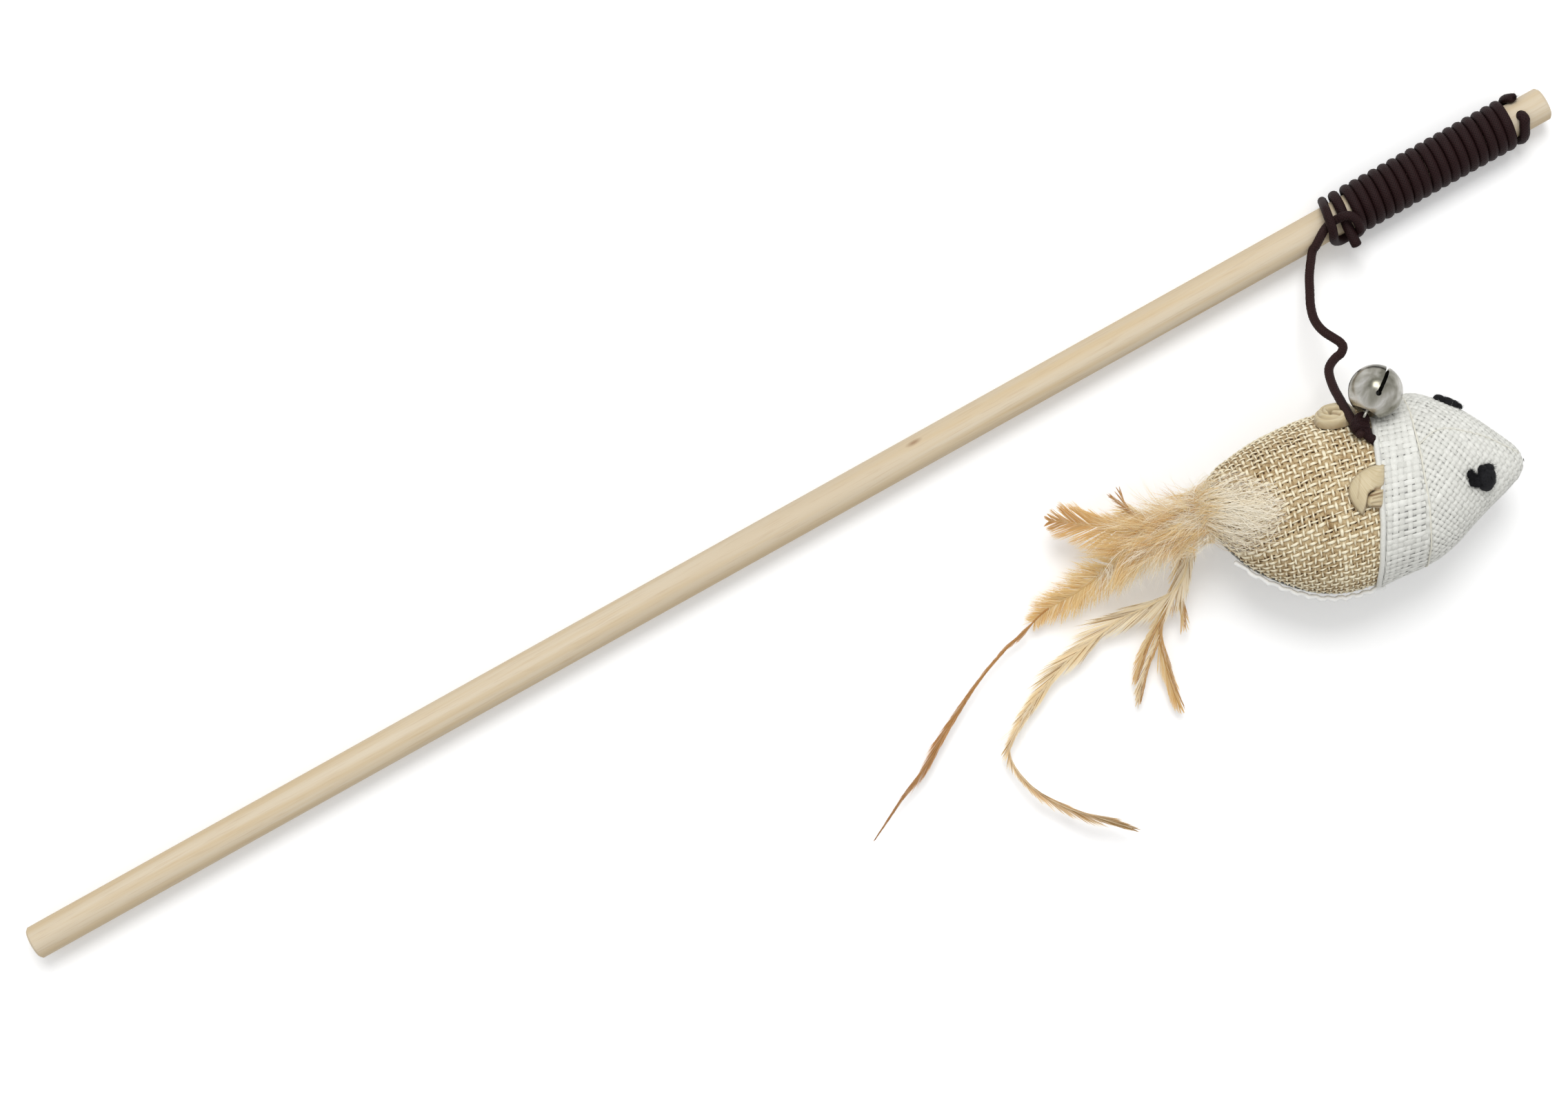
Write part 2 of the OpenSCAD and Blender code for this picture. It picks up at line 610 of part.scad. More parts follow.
module hackle_feather() {
    color("tan")
        feather(curve(concat([root(0)], route(hackle_shares, hackle_l, 0)), 2),
                hackle_l * [0.02, 0.03, 0.06, 0.09, 0.13, 0.12, 0.08, 0.01], quill_d);
}

module tuft_feather() {
    color("tan") {
        feather(curve(concat([root(1)], route(tuft_shares, tuft_l, 1)), 2),
                tuft_l * [0.04, 0.05, 0.08, 0.12, 0.08, 0.02], quill_d);
        feather(curve(route(tuft_low_shares, tuft_l, 1), 3), tuft_l * [0.03, 0.07, 0.02],
                quill_d * 0.7, vane_t * 0.7);
    }
}

module foxtail_feather() {
    color("burlywood")
        feather(curve(concat([root(-1)], route(foxtail_shares, foxtail_l, -1)), 2),
                foxtail_l * [0.01, 0.02, 0.03, 0.04, 0.045, 0.042, 0.03, 0.012, 0.007, 0.007,
                             0.01, 0.012, 0.008, 0.002], quill_d);
}

module curled_feather() {
    color("tan")
        feather(curve(concat([root(-2)], route(curl_shares, curl_l, -2)), 2),
                curl_l * [0.01, 0.012, 0.02, 0.028, 0.03, 0.028, 0.026, 0.024, 0.024, 0.02,
                          0.012, 0.009, 0.009, 0.012, 0.012, 0.008, 0.003], quill_d);
}

module split_feather() {
    color("peru") {
        feather(curve(concat([root(-3)], route(split_shares, split_l, -3)), 2),
                split_l * [0.015, 0.02, 0.035, 0.04, 0.045, 0.045, 0.035, 0.022, 0.003], quill_d);
        for (s = split_side_shares)
            feather(curve(route(s, split_l, -3), 3), split_l * [0.01, 0.025, 0.004],
                    quill_d * 0.7, vane_t * 0.7);
    }
}

stick();
cord_winding();
hitch_strand();
upper_cord();
lower_cord();
tie_knot();
cord_stub();
body_skin();
belly_panel();
head_skin();
collar_band();
stuffing();
ear_near();
ear_far();
eye_near();
eye_far();
rump_fluff();
bell_shell();
bell_eye();
bell_pellet();
plume();
tuft_feather();
hackle_feather();
foxtail_feather();
curled_feather();
split_feather();
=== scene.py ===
import bpy
import math
import numpy as np
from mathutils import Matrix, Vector


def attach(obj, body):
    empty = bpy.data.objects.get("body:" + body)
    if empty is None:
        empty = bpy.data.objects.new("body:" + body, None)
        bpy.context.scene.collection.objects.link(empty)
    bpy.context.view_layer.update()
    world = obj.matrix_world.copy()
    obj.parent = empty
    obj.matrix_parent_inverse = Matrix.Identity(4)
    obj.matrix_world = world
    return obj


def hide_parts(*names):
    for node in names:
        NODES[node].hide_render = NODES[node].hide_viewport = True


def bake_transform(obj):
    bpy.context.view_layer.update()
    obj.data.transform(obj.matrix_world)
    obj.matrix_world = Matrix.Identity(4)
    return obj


# A cat teaser wand. Shapes are worked out in mm on the frame's axes, and made in metres.
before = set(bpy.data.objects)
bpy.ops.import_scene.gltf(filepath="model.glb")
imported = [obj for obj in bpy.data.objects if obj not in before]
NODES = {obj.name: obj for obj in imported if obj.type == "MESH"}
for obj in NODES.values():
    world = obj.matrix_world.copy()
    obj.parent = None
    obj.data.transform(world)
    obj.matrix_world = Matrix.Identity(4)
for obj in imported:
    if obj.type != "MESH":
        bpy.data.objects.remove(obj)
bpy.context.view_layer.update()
MM = 0.001
rng = np.random.default_rng(11)
# Height of the surface that the wand lies on, and the least height of barbs and down
floor_z = -5.85
barb_floor = -5.8


def link_object(name, data):
    """A new object in the scene."""
    obj = bpy.data.objects.new(name, data)
    bpy.context.scene.collection.objects.link(obj)
    return obj


def add_camera():
    """Looks straight down, turned as in the photograph."""
    data = bpy.data.cameras.new("camera")
    data.lens = 79.33
    data.sensor_width = 36
    data.clip_start = 0.01
    camera = link_object("camera", data)
    camera.location = (0.1949, -0.0069, 0.8)
    camera.rotation_euler = (0, 0, math.radians(-29.11))
    bpy.context.scene.camera = camera


add_camera()


# Node trees and materials
class Tree:
    """Short calls that add linked nodes to a node tree."""

    def __init__(self, tree):
        self.tree = tree

    def put(self, value, socket):
        """Links an output to the socket, or sets the socket's own value."""
        if hasattr(value, "is_output"):
            self.tree.links.new(value, socket)
        elif isinstance(value, tuple) and len(value) == 3 and socket.type == "RGBA":
            socket.default_value = (*value, 1.0)
        else:
            socket.default_value = value

    def node(self, kind, *values, **settings):
        n = self.tree.nodes.new("ShaderNode" + kind)
        for key, setting in settings.items():
            setattr(n, key, setting)
        for value, socket in zip(values, n.inputs):
            self.put(value, socket)
        return n

    def math(self, op, a, b=0.0, c=0.0):
        return self.node("Math", a, b, c, operation=op).outputs[0]

    def ramp(self, share, stops):
        """Colours, or greys given as one number, at places from 0 to 1."""
        n = self.node("ValToRGB", share)
        items = n.color_ramp.elements
        while len(items) < len(stops):
            items.new(0.5)
        for item, (place, colour) in zip(items, stops):
            item.position = place
            item.color = (*colour, 1.0) if isinstance(colour, tuple) else (colour, colour, colour, 1.0)
        return n.outputs[0]

    def seen_rays(self):
        """One for camera, glossy and transmission rays, which all see the white background."""
        rays = self.node("LightPath").outputs
        either = self.math("MAXIMUM", rays["Is Camera Ray"], rays["Is Glossy Ray"])
        return self.math("MAXIMUM", either, rays["Is Transmission Ray"])


class Mat(Tree):
    """A material with a Principled shader."""

    def __init__(self, name, rough, metal=0.0, sheen=0.0, spec=0.5):
        self.mat = bpy.data.materials.new(name)
        self.mat.use_nodes = True
        super().__init__(self.mat.node_tree)
        self.shader = self.tree.nodes["Principled BSDF"]
        self.put_named(self.shader, {"Roughness": rough, "Metallic": metal, "Sheen Weight": sheen,
                                     "Specular IOR Level": spec})

    def put_named(self, node, values):
        for name, value in values.items():
            self.put(value, node.inputs[name])
        return node

    def mix(self, share, a, b):
        n = self.node("Mix", data_type="RGBA")
        for value, k in ((share, 0), (a, 6), (b, 7)):
            self.put(value, n.inputs[k])
        return n.outputs[2]

    def coords(self, scale=(1, 1, 1), kind="Object"):
        n = self.node("Mapping", self.node("TexCoord").outputs[kind])
        return self.put_named(n, {"Scale": scale}).outputs[0]

    def noise(self, vector, scale, detail=3.0, rough=0.5, distort=0.0):
        n = self.put_named(self.node("TexNoise"), {"Vector": vector, "Scale": scale, "Detail": detail,
                                                   "Roughness": rough, "Distortion": distort})
        return n.outputs[0]

    def split(self, vector):
        return self.node("SeparateXYZ", vector).outputs

    def tone(self):
        """Shade, second share and random mark of the mesh, from its tone attribute."""
        n = self.node("Attribute", attribute_name="tone")
        return self.node("SeparateColor", n.outputs["Color"]).outputs

    def color(self, value):
        self.put(value, self.shader.inputs["Base Color"])

    def bump(self, height, strength, distance):
        n = self.put_named(self.node("Bump"), {"Height": height, "Strength": strength, "Distance": distance})
        self.put(n.outputs[0], self.shader.inputs["Normal"])


def wood_material():
    """Sanded wood: long soft streaks, fine pores, and a small knot near the middle of the stick."""
    m = Mat("sanded_wood", 0.62, spec=0.3)
    streak = m.noise(m.coords((7, 330, 330)), 1.0, 4, 0.6, 0.4)
    wide = m.noise(m.coords((3, 90, 90)), 1.0, 3, 0.5, 0.8)
    pores = m.noise(m.coords((110, 2600, 2600)), 1.0, 2, 0.6)
    base = m.ramp(wide, [(0.3, (0.60, 0.49, 0.34)), (0.52, (0.68, 0.585, 0.44)),
                         (0.75, (0.74, 0.665, 0.54))])
    base = m.mix(m.ramp(streak, [(0.42, 0.0), (0.62, 1.0)]), base, (0.63, 0.50, 0.32))
    base = m.mix(m.ramp(pores, [(0.30, 0.35), (0.46, 0.0)]), base, (0.52, 0.38, 0.23))
    # Place and half size of the knot, in metres along and across the stick
    knot_x, knot_y, knot_l, knot_w = 0.2342, 0.0022, 0.0024, 0.0007
    x, y, z = m.split(m.coords())
    dx = m.math("DIVIDE", m.math("SUBTRACT", x, knot_x), knot_l)
    dy = m.math("DIVIDE", m.math("SUBTRACT", y, knot_y), knot_w)
    far = m.math("SQRT", m.math("ADD", m.math("MULTIPLY", dx, dx), m.math("MULTIPLY", dy, dy)))
    spot = m.math("MULTIPLY", m.ramp(far, [(0.2, 1.0), (1.0, 0.0)]), m.math("GREATER_THAN", z, 0.0))
    m.color(m.mix(m.math("MULTIPLY", spot, 0.75), base, (0.30, 0.17, 0.09)))
    m.bump(m.math("ADD", pores, m.math("MULTIPLY", streak, 0.6)), 0.25, 0.0001)
    return m.mat


def cord_material(name, light, dark):
    """Dark braid: two crossing sets of ridges round the cord, with fuzz."""
    ridges, ridge_l = 9, 0.62
    m = Mat(name, 0.55, spec=0.11)
    u, v = m.split(m.coords(kind="UV"))[:2]
    a = m.math("MULTIPLY", u, 2 * math.pi * ridges)
    b = m.math("MULTIPLY", v, 2 * math.pi / ridge_l)
    one = m.math("SINE", m.math("ADD", a, b))
    two = m.math("SINE", m.math("SUBTRACT", a, b))
    braid = m.math("MAXIMUM", one, two)
    fuzz = m.noise(m.coords(), 2600, 2)
    # Lighter on the braid's ridges and darker in the grooves between them: painted shade.
    shade = m.math("ADD", m.math("MULTIPLY_ADD", braid, 0.22, 0.42), m.math("MULTIPLY", fuzz, 0.35))
    m.color(m.ramp(shade, [(0.3, dark), (0.85, light)]))
    m.bump(m.math("ADD", braid, fuzz), 0.45, 0.00008)
    return m.mat


def fibre_noise(m, u_scale, v_scale, *settings, mark=0.0):
    """Noise drawn out along a yarn or leaf by its UV."""
    u, v = m.split(m.coords(kind="UV"))[:2]
    n = m.node("CombineXYZ", m.math("MULTIPLY", u, u_scale), m.math("MULTIPLY", v, v_scale), mark)
    return m.noise(n.outputs[0], *settings)


def yarn_material(name, stops, fibre, fibre_mix, strength=0.5):
    """Spun yarn: shade from the mesh, which holds painted light and shade of the weave, with fibres along the
    yarn.
    """
    m = Mat(name, 0.95, sheen=0.15, spec=0.15)
    shade, stray, mark = m.tone()
    strand = fibre_noise(m, 5.0, 1.3, 1.6, 3, 0.6, mark=m.math("MULTIPLY", mark, 90.0))
    shade = m.math("ADD", m.math("MULTIPLY", shade, 0.62), m.math("MULTIPLY", strand, 0.5))
    m.color(m.mix(m.math("MULTIPLY", stray, fibre_mix), m.ramp(shade, stops), fibre))
    m.bump(strand, strength, 0.00012)
    return m.mat


def leaf_material():
    """Raffia: veins along the leaf, with painted shade in its creases and at its rim."""
    m = Mat("raffia_leaf", 0.55, sheen=0.1, spec=0.4)
    vein = fibre_noise(m, 9.0, 0.8, 1.0, 3, 0.6, 0.15)
    # Painted shade from the mesh: creases, ridge grooves, rim and underside.
    crease = m.tone()[1]
    base = m.ramp(vein, [(0.3, (0.55, 0.44, 0.25)), (0.5, (0.62, 0.52, 0.33)), (0.7, (0.68, 0.59, 0.40))])
    m.color(m.mix(m.math("MULTIPLY", crease, 0.95), base, (0.20, 0.11, 0.045)))
    m.bump(vein, 0.35, 0.00012)
    return m.mat


def plain_material(name, one, two, scale, rough=0.9, sheen=0.1, metal=0.0):
    """Fine grain between two colours."""
    m = Mat(name, rough, metal=metal, sheen=sheen, spec=0.3)
    grain = m.noise(m.coords(), scale, 3)
    m.color(m.ramp(grain, [(0.3, one), (0.7, two)]))
    m.bump(grain, 0.3, 0.0001)
    return m.mat


def nickel_material():
    """Plated metal, unevenly polished, with dark patches that are partly tarnish and partly painted dark
    reflections.
    """
    m = Mat("nickel", 0.25, metal=1.0)
    tarnish_and_reflection = m.noise(m.coords(), 150, 3, 0.55, 0.4)
    # Dark patches of the base colour: tarnish, and painted reflection of a darker room.
    m.color(m.ramp(tarnish_and_reflection, [(0.36, (0.15, 0.145, 0.115)), (0.5, (0.31, 0.30, 0.26)),
                           (0.64, (0.52, 0.51, 0.48))]))
    m.put(m.math("MULTIPLY_ADD", tarnish_and_reflection, 0.25, 0.12), m.shader.inputs["Roughness"])
    m.bump(m.noise(m.coords(), 190, 2), 0.35, 0.0005)
    return m.mat


def feather_material(name, stops, edge, edge_mix, soft, streak=(0.50, 0.30, 0.12), streak_mix=0.42,
                     streak_to=0.22):
    """Barbs: shade along the feather, pale or dark ends, and some darker and some paler barbs."""
    m = Mat(name, 0.75, sheen=0.2, spec=0.25)
    shade, along, mark = m.tone()
    base = m.mix(m.math("MULTIPLY", m.math("POWER", along, 1.6), edge_mix), m.ramp(shade, stops), edge)
    dark = m.ramp(mark, [(0.0, streak_mix), (streak_to * 0.6, streak_mix * 0.8), (streak_to, 0.0)])
    lit = m.ramp(mark, [(0.68, 0.0), (1.0, 0.6)])
    base = m.mix(lit, m.mix(dark, base, streak), (0.96, 0.90, 0.76))
    m.color(base)
    through = m.node("BsdfTranslucent", base)
    blend = m.node("MixShader", soft, m.shader.outputs[0], through.outputs[0])
    m.put(blend.outputs[0], m.tree.nodes["Material Output"].inputs[0])
    return m.mat


# Mesh helpers
def unit(v):
    v = np.asarray(v, float)
    return v / np.maximum(np.linalg.norm(v, axis=-1, keepdims=True), 1e-12)


def curve(points, steps):
    """Smooth curve through points, with a number of steps from each to the next."""
    p = np.asarray(points, float)
    out = []
    for i in range(len(p) - 1):
        a, b, c, d = p[max(i - 1, 0)], p[i], p[i + 1], p[min(i + 2, len(p) - 1)]
        for t in np.arange(steps) / steps:
            out.append(0.5 * (2 * b + (c - a) * t + (2 * a - 5 * b + 4 * c - d) * t * t
                              + (3 * b - a - 3 * c + d) * t ** 3))
    return np.array(out + [p[-1]])


def headings(path):
    t = np.empty_like(path)
    t[1:-1] = path[2:] - path[:-2]
    t[0] = path[1] - path[0]
    t[-1] = path[-1] - path[-2]
    return unit(t)


def run_along(path):
    """Length of the path up to each of its points."""
    return np.concatenate([[0], np.cumsum(np.linalg.norm(np.diff(path, axis=0), axis=1))])


def grid_faces(rows, sides, closed=True, turned=False):
    """Quads between rows of points, which may close into rings. The quads may face the other way."""
    i, k = np.meshgrid(np.arange(rows - 1) * sides, np.arange(sides if closed else sides - 1), indexing="ij")
    a, b = (i + k).ravel(), (i + (k + 1) % sides).ravel()
    corners = (a, b, b + sides, a + sides) if turned else (a, a + sides, b + sides, b)
    return np.stack(corners, -1).tolist()


def tube(path, radius, sides, first=(0, 0, 1), flat=(1.0, 1.0), fixed=False, floor=None):
    """Points, faces and UV of a round-ended tube. Its first side is carried along, or set at each point."""
    end_reach, end_taper = (0.45, 0.3), np.array([0.35, 0.8])
    path = np.asarray(path, float)
    radius = np.broadcast_to(np.asarray(radius, float), (len(path),))
    way = headings(path)
    before = [path[0] - way[0] * radius[0] * k for k in end_reach]
    after = [path[-1] + way[-1] * radius[-1] * k for k in end_reach[::-1]]
    path = np.vstack([before, path, after])
    radius = np.concatenate([radius[0] * end_taper, radius, radius[-1] * end_taper[::-1]])
    way = headings(path)
    side = np.empty_like(path)
    s = np.asarray(first, float)
    for i, w in enumerate(way):
        s = np.asarray(first, float) if fixed else s
        s = unit(s - (s @ w) * w)
        side[i] = s
    angle = 2 * np.pi * np.arange(sides)[:, None] / sides
    ring = (np.cos(angle) * side[:, None] * flat[0]
            + np.sin(angle) * np.cross(way, side)[:, None] * flat[1])
    verts = (path[:, None] + radius[:, None, None] * ring).reshape(-1, 3)
    if floor is not None:
        verts[:, 2] = np.maximum(verts[:, 2], floor)
    uv = np.stack(np.broadcast_arrays(np.arange(sides) / sides, run_along(path)[:, None]), -1)
    caps = [list(range(sides - 1, -1, -1)), list(range(len(verts) - sides, len(verts)))]
    return verts, grid_faces(len(path), sides, turned=True) + caps, uv.reshape(-1, 2)


class Bag:
    """Collects the parts of one piece. A part's tone is its shade, a second share and a random mark."""

    def __init__(self):
        self.verts, self.faces, self.uv, self.tone, self.which = [], [], [], [], []
        self.count = 0

    def add(self, verts, faces, uv=None, tone=(0.5, 0.5, 0.5), mat=0):
        n = len(verts)
        self.verts.append(np.asarray(verts, float))
        self.faces.extend([[int(k) + self.count for k in face] for face in faces])
        self.uv.append(np.zeros((n, 2)) if uv is None else uv)
        self.tone.append(np.broadcast_to(np.asarray(tone, float), (n, 3)))
        self.which.extend([mat] * len(faces))
        self.count += n

    def make(self, name, materials, body, node, toned=True):
        """The piece, which rides on its body and stands for a CAD node."""
        mesh = bpy.data.meshes.new(name)
        mesh.from_pydata((np.vstack(self.verts) * MM).tolist(), [], self.faces)
        mesh.validate()
        for material in materials:
            mesh.materials.append(material)
        mesh.polygons.foreach_set("material_index", np.asarray(self.which, np.int32))
        mesh.polygons.foreach_set("use_smooth", np.full(len(mesh.polygons), True))
        layer = mesh.uv_layers.new(name="map")
        corner = np.empty(len(mesh.loops), np.int32)
        mesh.loops.foreach_get("vertex_index", corner)
        layer.data.foreach_set("uv", np.vstack(self.uv).astype(np.float32)[corner].ravel())
        if toned:
            rgba = np.ones((self.count, 4), np.float32)
            rgba[:, :3] = np.vstack(self.tone)
            mesh.attributes.new("tone", "FLOAT_COLOR", "POINT").data.foreach_set("color", rgba.ravel())
        obj = link_object(name, mesh)
        if body:
            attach(obj, body)
        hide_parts(node)
        return obj


def strips(line, half, shade, mark, floor):
    """Flat strips, half a width to each side of lines of points."""
    count, steps = line.shape[:2]
    verts = np.stack([line - half, line + half], 2).reshape(-1, 3)
    verts[:, 2] = np.maximum(verts[:, 2], floor)
    base = (np.arange(count) * steps * 2)[:, None] + np.arange(steps - 1) * 2
    faces = np.stack([base, base + 1, base + 3, base + 2], -1).reshape(-1, 4)
    tone = np.empty((count, steps, 2, 3))
    tone[..., 0] = shade[:, None, None]
    tone[..., 1] = np.linspace(0, 1, steps)[:, None]
    tone[..., 2] = mark[:, None, None]
    return verts, faces.tolist(), None, tone.reshape(-1, 3)


def ribbons(roots, dirs, ups, lengths, widths, bend, droop, steps, tones, floor=barb_floor):
    """Thin tapering ribbons: each leaves its root along dirs, bends to one side and down."""
    t = np.linspace(0, 1, steps)[None, :, None]
    side = unit(np.cross(ups, dirs))
    up = unit(np.cross(dirs, side))
    length = lengths[:, None, None]
    line = (roots[:, None] + dirs[:, None] * length * t
            + side[:, None] * (bend[:, None, None] * length * t ** 2)
            + up[:, None] * (droop[:, None, None] * length * t ** 2))
    half = side[:, None] * (widths[:, None, None] / 2) * ((1 - t) ** 0.6 * 0.92 + 0.08)
    return strips(line, half, *tones, floor)


# The cord's size, how it lies on the stick, and the places of its turns along the stick
cord_d, turn_gap, turns = 2.0, 0.48, 17
pitch = cord_d + turn_gap
lay_r = 5.05
hole_x, first_turn_x = 393.1, 389.1
last_turn_x = first_turn_x - (turns - 1) * pitch
hitch_x = last_turn_x - 1.4 * pitch
bend_r = lay_r * math.sin(math.radians(15))
# The knot at the mouse, and the cord's way into it
knot_c = np.array([321.168, -43.702, 27.158])
entry = np.array([-0.0908, -0.7568, 0.6474])


def on_stick(x, angle, layer):
    """A place of the cord round the stick, with the layers of cord that it lies on."""
    r = lay_r + layer * cord_d
    a = math.radians(angle)
    return [x, -r * math.sin(a), r * math.cos(a)]


def laid(from_x, shares):
    """Places round the stick: cord widths along it from from_x, angle and layer."""
    return [on_stick(from_x + share * cord_d, angle, layer) for share, angle, layer in shares]


# Free cord: from the hitch to the kink, and from the kink into the knot
hitch_exit = [[-0.8, 3, 0.75], [-1.4, 3, 0.3], [-2.1, 6, 0.08], [-2.9, 14, 0], [-3.7, 27, 0], [-4.4, 41, 0],
              [-5.0, 54, 0]]
upper_route = [[333.6, -7.2, 2.9], [332.2, -9.2, 3.6], [330.8, -11.6, 4.7], [329.1, -14.5, 6.2],
               [328, -17.3, 7.8], [327.8, -19.6, 9.2], [328.2, -21.6, 10.4], [329, -23.4, 11.4],
               [329.7, -24.9, 12.1], [329.85, -25.6, 12.35]]
lower_route = [[329.6, -24.6, 11.95], [329.85, -25.4, 12.25], [329.8, -26.5, 12.6], [328.6, -27.5, 12.9],
               [327, -27.8, 13.2], [325.2, -28.5, 14], [324, -29.5, 14.9], [323.2, -31.1, 16.2],
               [322.6, -33, 17.9], [322.2, -35.1, 19.8]]
upper_path = curve(laid(hitch_x, hitch_exit) + upper_route, 8)
lower_path = curve(lower_route + [knot_c - entry * 3.0, knot_c, knot_c + entry * 1.9], 8)
cord_free = cord_material("cord_free", (0.036, 0.016, 0.015), (0.005, 0.002, 0.002))


def cord_piece(name, path, body, node):
    """A free run of the cord, faintly uneven along its length and round it."""
    sides, fuzz, ripple, per_mm, round_it = 16, 0.06, 0.03, 9, 3
    verts, faces, uv = tube(path, cord_d / 2 + fuzz, sides)
    centre = verts.reshape(-1, sides, 3).mean(1).repeat(sides, 0)
    uneven = ripple * np.sin(uv[:, 1] * per_mm + round_it * uv[:, 0] * 6.283)
    bag = Bag()
    bag.add(verts + unit(verts - centre) * uneven[:, None], faces, uv)
    return bag.make(name, [cord_free], body, node, toned=False)


upper_cord = cord_piece("cord_upper_run", upper_path, None, "upper_cord")
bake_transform(upper_cord)
lower_cord = cord_piece("cord_lower_run", lower_path, "tether_lower", "lower_cord")

# Winding and hitch
cord_wound = cord_material("cord_wound", (0.022, 0.0078, 0.0082), (0.0024, 0.0008, 0.0008))
free_end = [[0.3, -58, 0.08], [-0.1, -76, 0.06], [-0.3, -96, 0.06], [-0.3, -118, 0.06], [-0.2, -136, 0.06],
            [-0.05, -152, 0.06]]
cut_tail = [[-0.05, 14, 0], [-0.18, 30, 0.2], [-0.24, 42, 0.8], [-0.28, 51, 1.4], [-0.32, 58, 2]]
hitch_run = [[-0.3, -180, 0], [-0.45, -150, 0], [-0.65, -120, 0], [-0.9, -90, 0], [-1.15, -62, 0],
             [-1.4, -40, 0.4], [-1.65, -22, 1], [-1.9, -6, 1.35], [-2.05, 10, 1.3], [-2.2, 25, 1],
             [-2.25, 40, 0.5], [-2.1, 56, 0.15], [-1.75, 71, 0], [-1.2, 82, 0], [-0.45, 84, 0],
             [0.2, 74, 0.1], [0.6, 58, 0.65], [0.9, 42, 1.15], [0.9, 24, 1.25], [0.5, 10, 1.2],
             [-0.15, 4, 1.1], [-0.8, 3, 0.75]]


def through_hole():
    """The run up through the cross hole, with a quarter bend below and above the stick."""
    quarter = [math.radians(a) for a in (0, 30, 60, 90)]
    straight = lay_r - bend_r
    below = [[hole_x, bend_r * (1 - math.sin(a)), -straight - bend_r * math.cos(a)] for a in quarter]
    above = [[hole_x, -bend_r * (1 - math.cos(a)), straight + bend_r * math.sin(a)] for a in quarter]
    return below + [[hole_x, 0, 0]] + above


def wound_strand():
    """One strand: free end, cross hole, first loop, tight turns of uneven spacing, a wide turn, cut tail."""
    loop_steps, turn_steps = 24, 18
    wobble = rng.normal(0, 0.05, 60)
    widening = last_turn_x - pitch - hitch_x
    points = laid(hole_x, free_end) + through_hole()
    for i in range(2, loop_steps, 2):
        left = 1 - i / loop_steps
        x = first_turn_x + pitch * left + (hole_x - first_turn_x - pitch) * left ** 3
        points.append(on_stick(x, 360 * i / loop_steps, 0))
    for i in range((turns - 1) * turn_steps + 1):
        turn, part = divmod(i / turn_steps, 1)
        drift = wobble[int(turn)] * (1 - part) + wobble[int(turn) + 1] * part
        points.append(on_stick(first_turn_x - pitch * i / turn_steps + drift, 20 * i, 0))
    for i in range(1, turn_steps + 1):
        share = i / turn_steps
        points.append(on_stick(last_turn_x - pitch * share - widening * share ** 2, 20 * i, 0))
    return points + laid(hitch_x, cut_tail)


def fray(bag, end, inner, count, length, seed):
    """Loose threads at a cut end of the cord."""
    r = np.random.default_rng(seed)
    dirs = unit(unit(np.subtract(end, inner)) + r.normal(0, 0.6, (count, 3)))
    ups = unit(r.normal(0, 1, (count, 3)))
    tones = (np.full(count, 0.5), r.random(count))
    roots = np.asarray(end) + r.normal(0, 0.35, (count, 3))
    lengths = r.uniform(0.5, 1, count) * length
    bag.add(*ribbons(roots, dirs, ups, lengths, np.full(count, 0.09), r.normal(0, 0.3, count),
                     r.normal(0, 0.3, count), 4, tones))


def winding():
    wound = wound_strand()
    bag = Bag()
    bag.add(*tube(curve(wound, 2), 1.0, 14, (1, 0, 0), flat=(1.25, 1.0), fixed=True, floor=floor_z))
    fray(bag, wound[0], wound[1], count=60, length=1.5, seed=3)
    fray(bag, wound[-1], wound[-2], count=30, length=0.6, seed=4)
    bag.make("cord_winding_turns", [cord_wound], "wand", "cord_winding")


def hitch():
    bag = Bag()
    bag.add(*tube(curve(laid(hitch_x, hitch_run), 6), 1.08, 14, (1, 0, 0), floor=floor_z))
    bag.make("cord_hitch", [cord_wound], "wand", "hitch_strand", toned=False)


def finish_nodes(names, material):
    """A better material for CAD nodes that stay."""
    for name in names:
        for slot in NODES[name].material_slots:
            slot.material = material


winding()
hitch()
finish_nodes(["stick"], wood_material())

# The form of the mouse: size, the rump's place, its turn, and the angle of the back seam
mouse_l, half_w, half_h = 75.0, 20.8, 18.5
rump = np.array([282.5, -43.5])
mouse_turn = math.radians(-19.8)
back = 56.0
mid_z = floor_z + half_h - 0.4
# Share of the length, then shares of the half width, half height and shift to one side
FORM = np.array([
    [0.0, 0.13, 0.13, 0.03], [0.03, 0.27, 0.27, 0.03], [0.065, 0.43, 0.43, 0], [0.12, 0.605, 0.6, -0.06],
    [0.19, 0.76, 0.76, -0.095], [0.27, 0.885, 0.89, -0.12], [0.36, 0.975, 0.98, -0.13],
    [0.45, 1, 1, -0.125], [0.55, 0.98, 0.95, -0.09], [0.62, 0.957, 0.92, -0.05], [0.7, 0.923, 0.885, 0],
    [0.76, 0.813, 0.79, 0.02], [0.82, 0.663, 0.65, 0.045], [0.88, 0.495, 0.49, 0.04],
    [0.93, 0.346, 0.34, 0.02], [0.962, 0.245, 0.24, 0.01], [0.984, 0.165, 0.16, 0], [0.996, 0.09, 0.09, 0],
    [1.001, 0.035, 0.035, 0], [1.002, 0.0, 0.0, 0]])
# Shares of the length: seam between body and head, folds of the collar, front edge of the near ear
neck, collar_rear, collar_front, ear_edge = 0.59, 0.530, 0.657, 0.517
RING = np.linspace(0, 360, 97)[:-1]


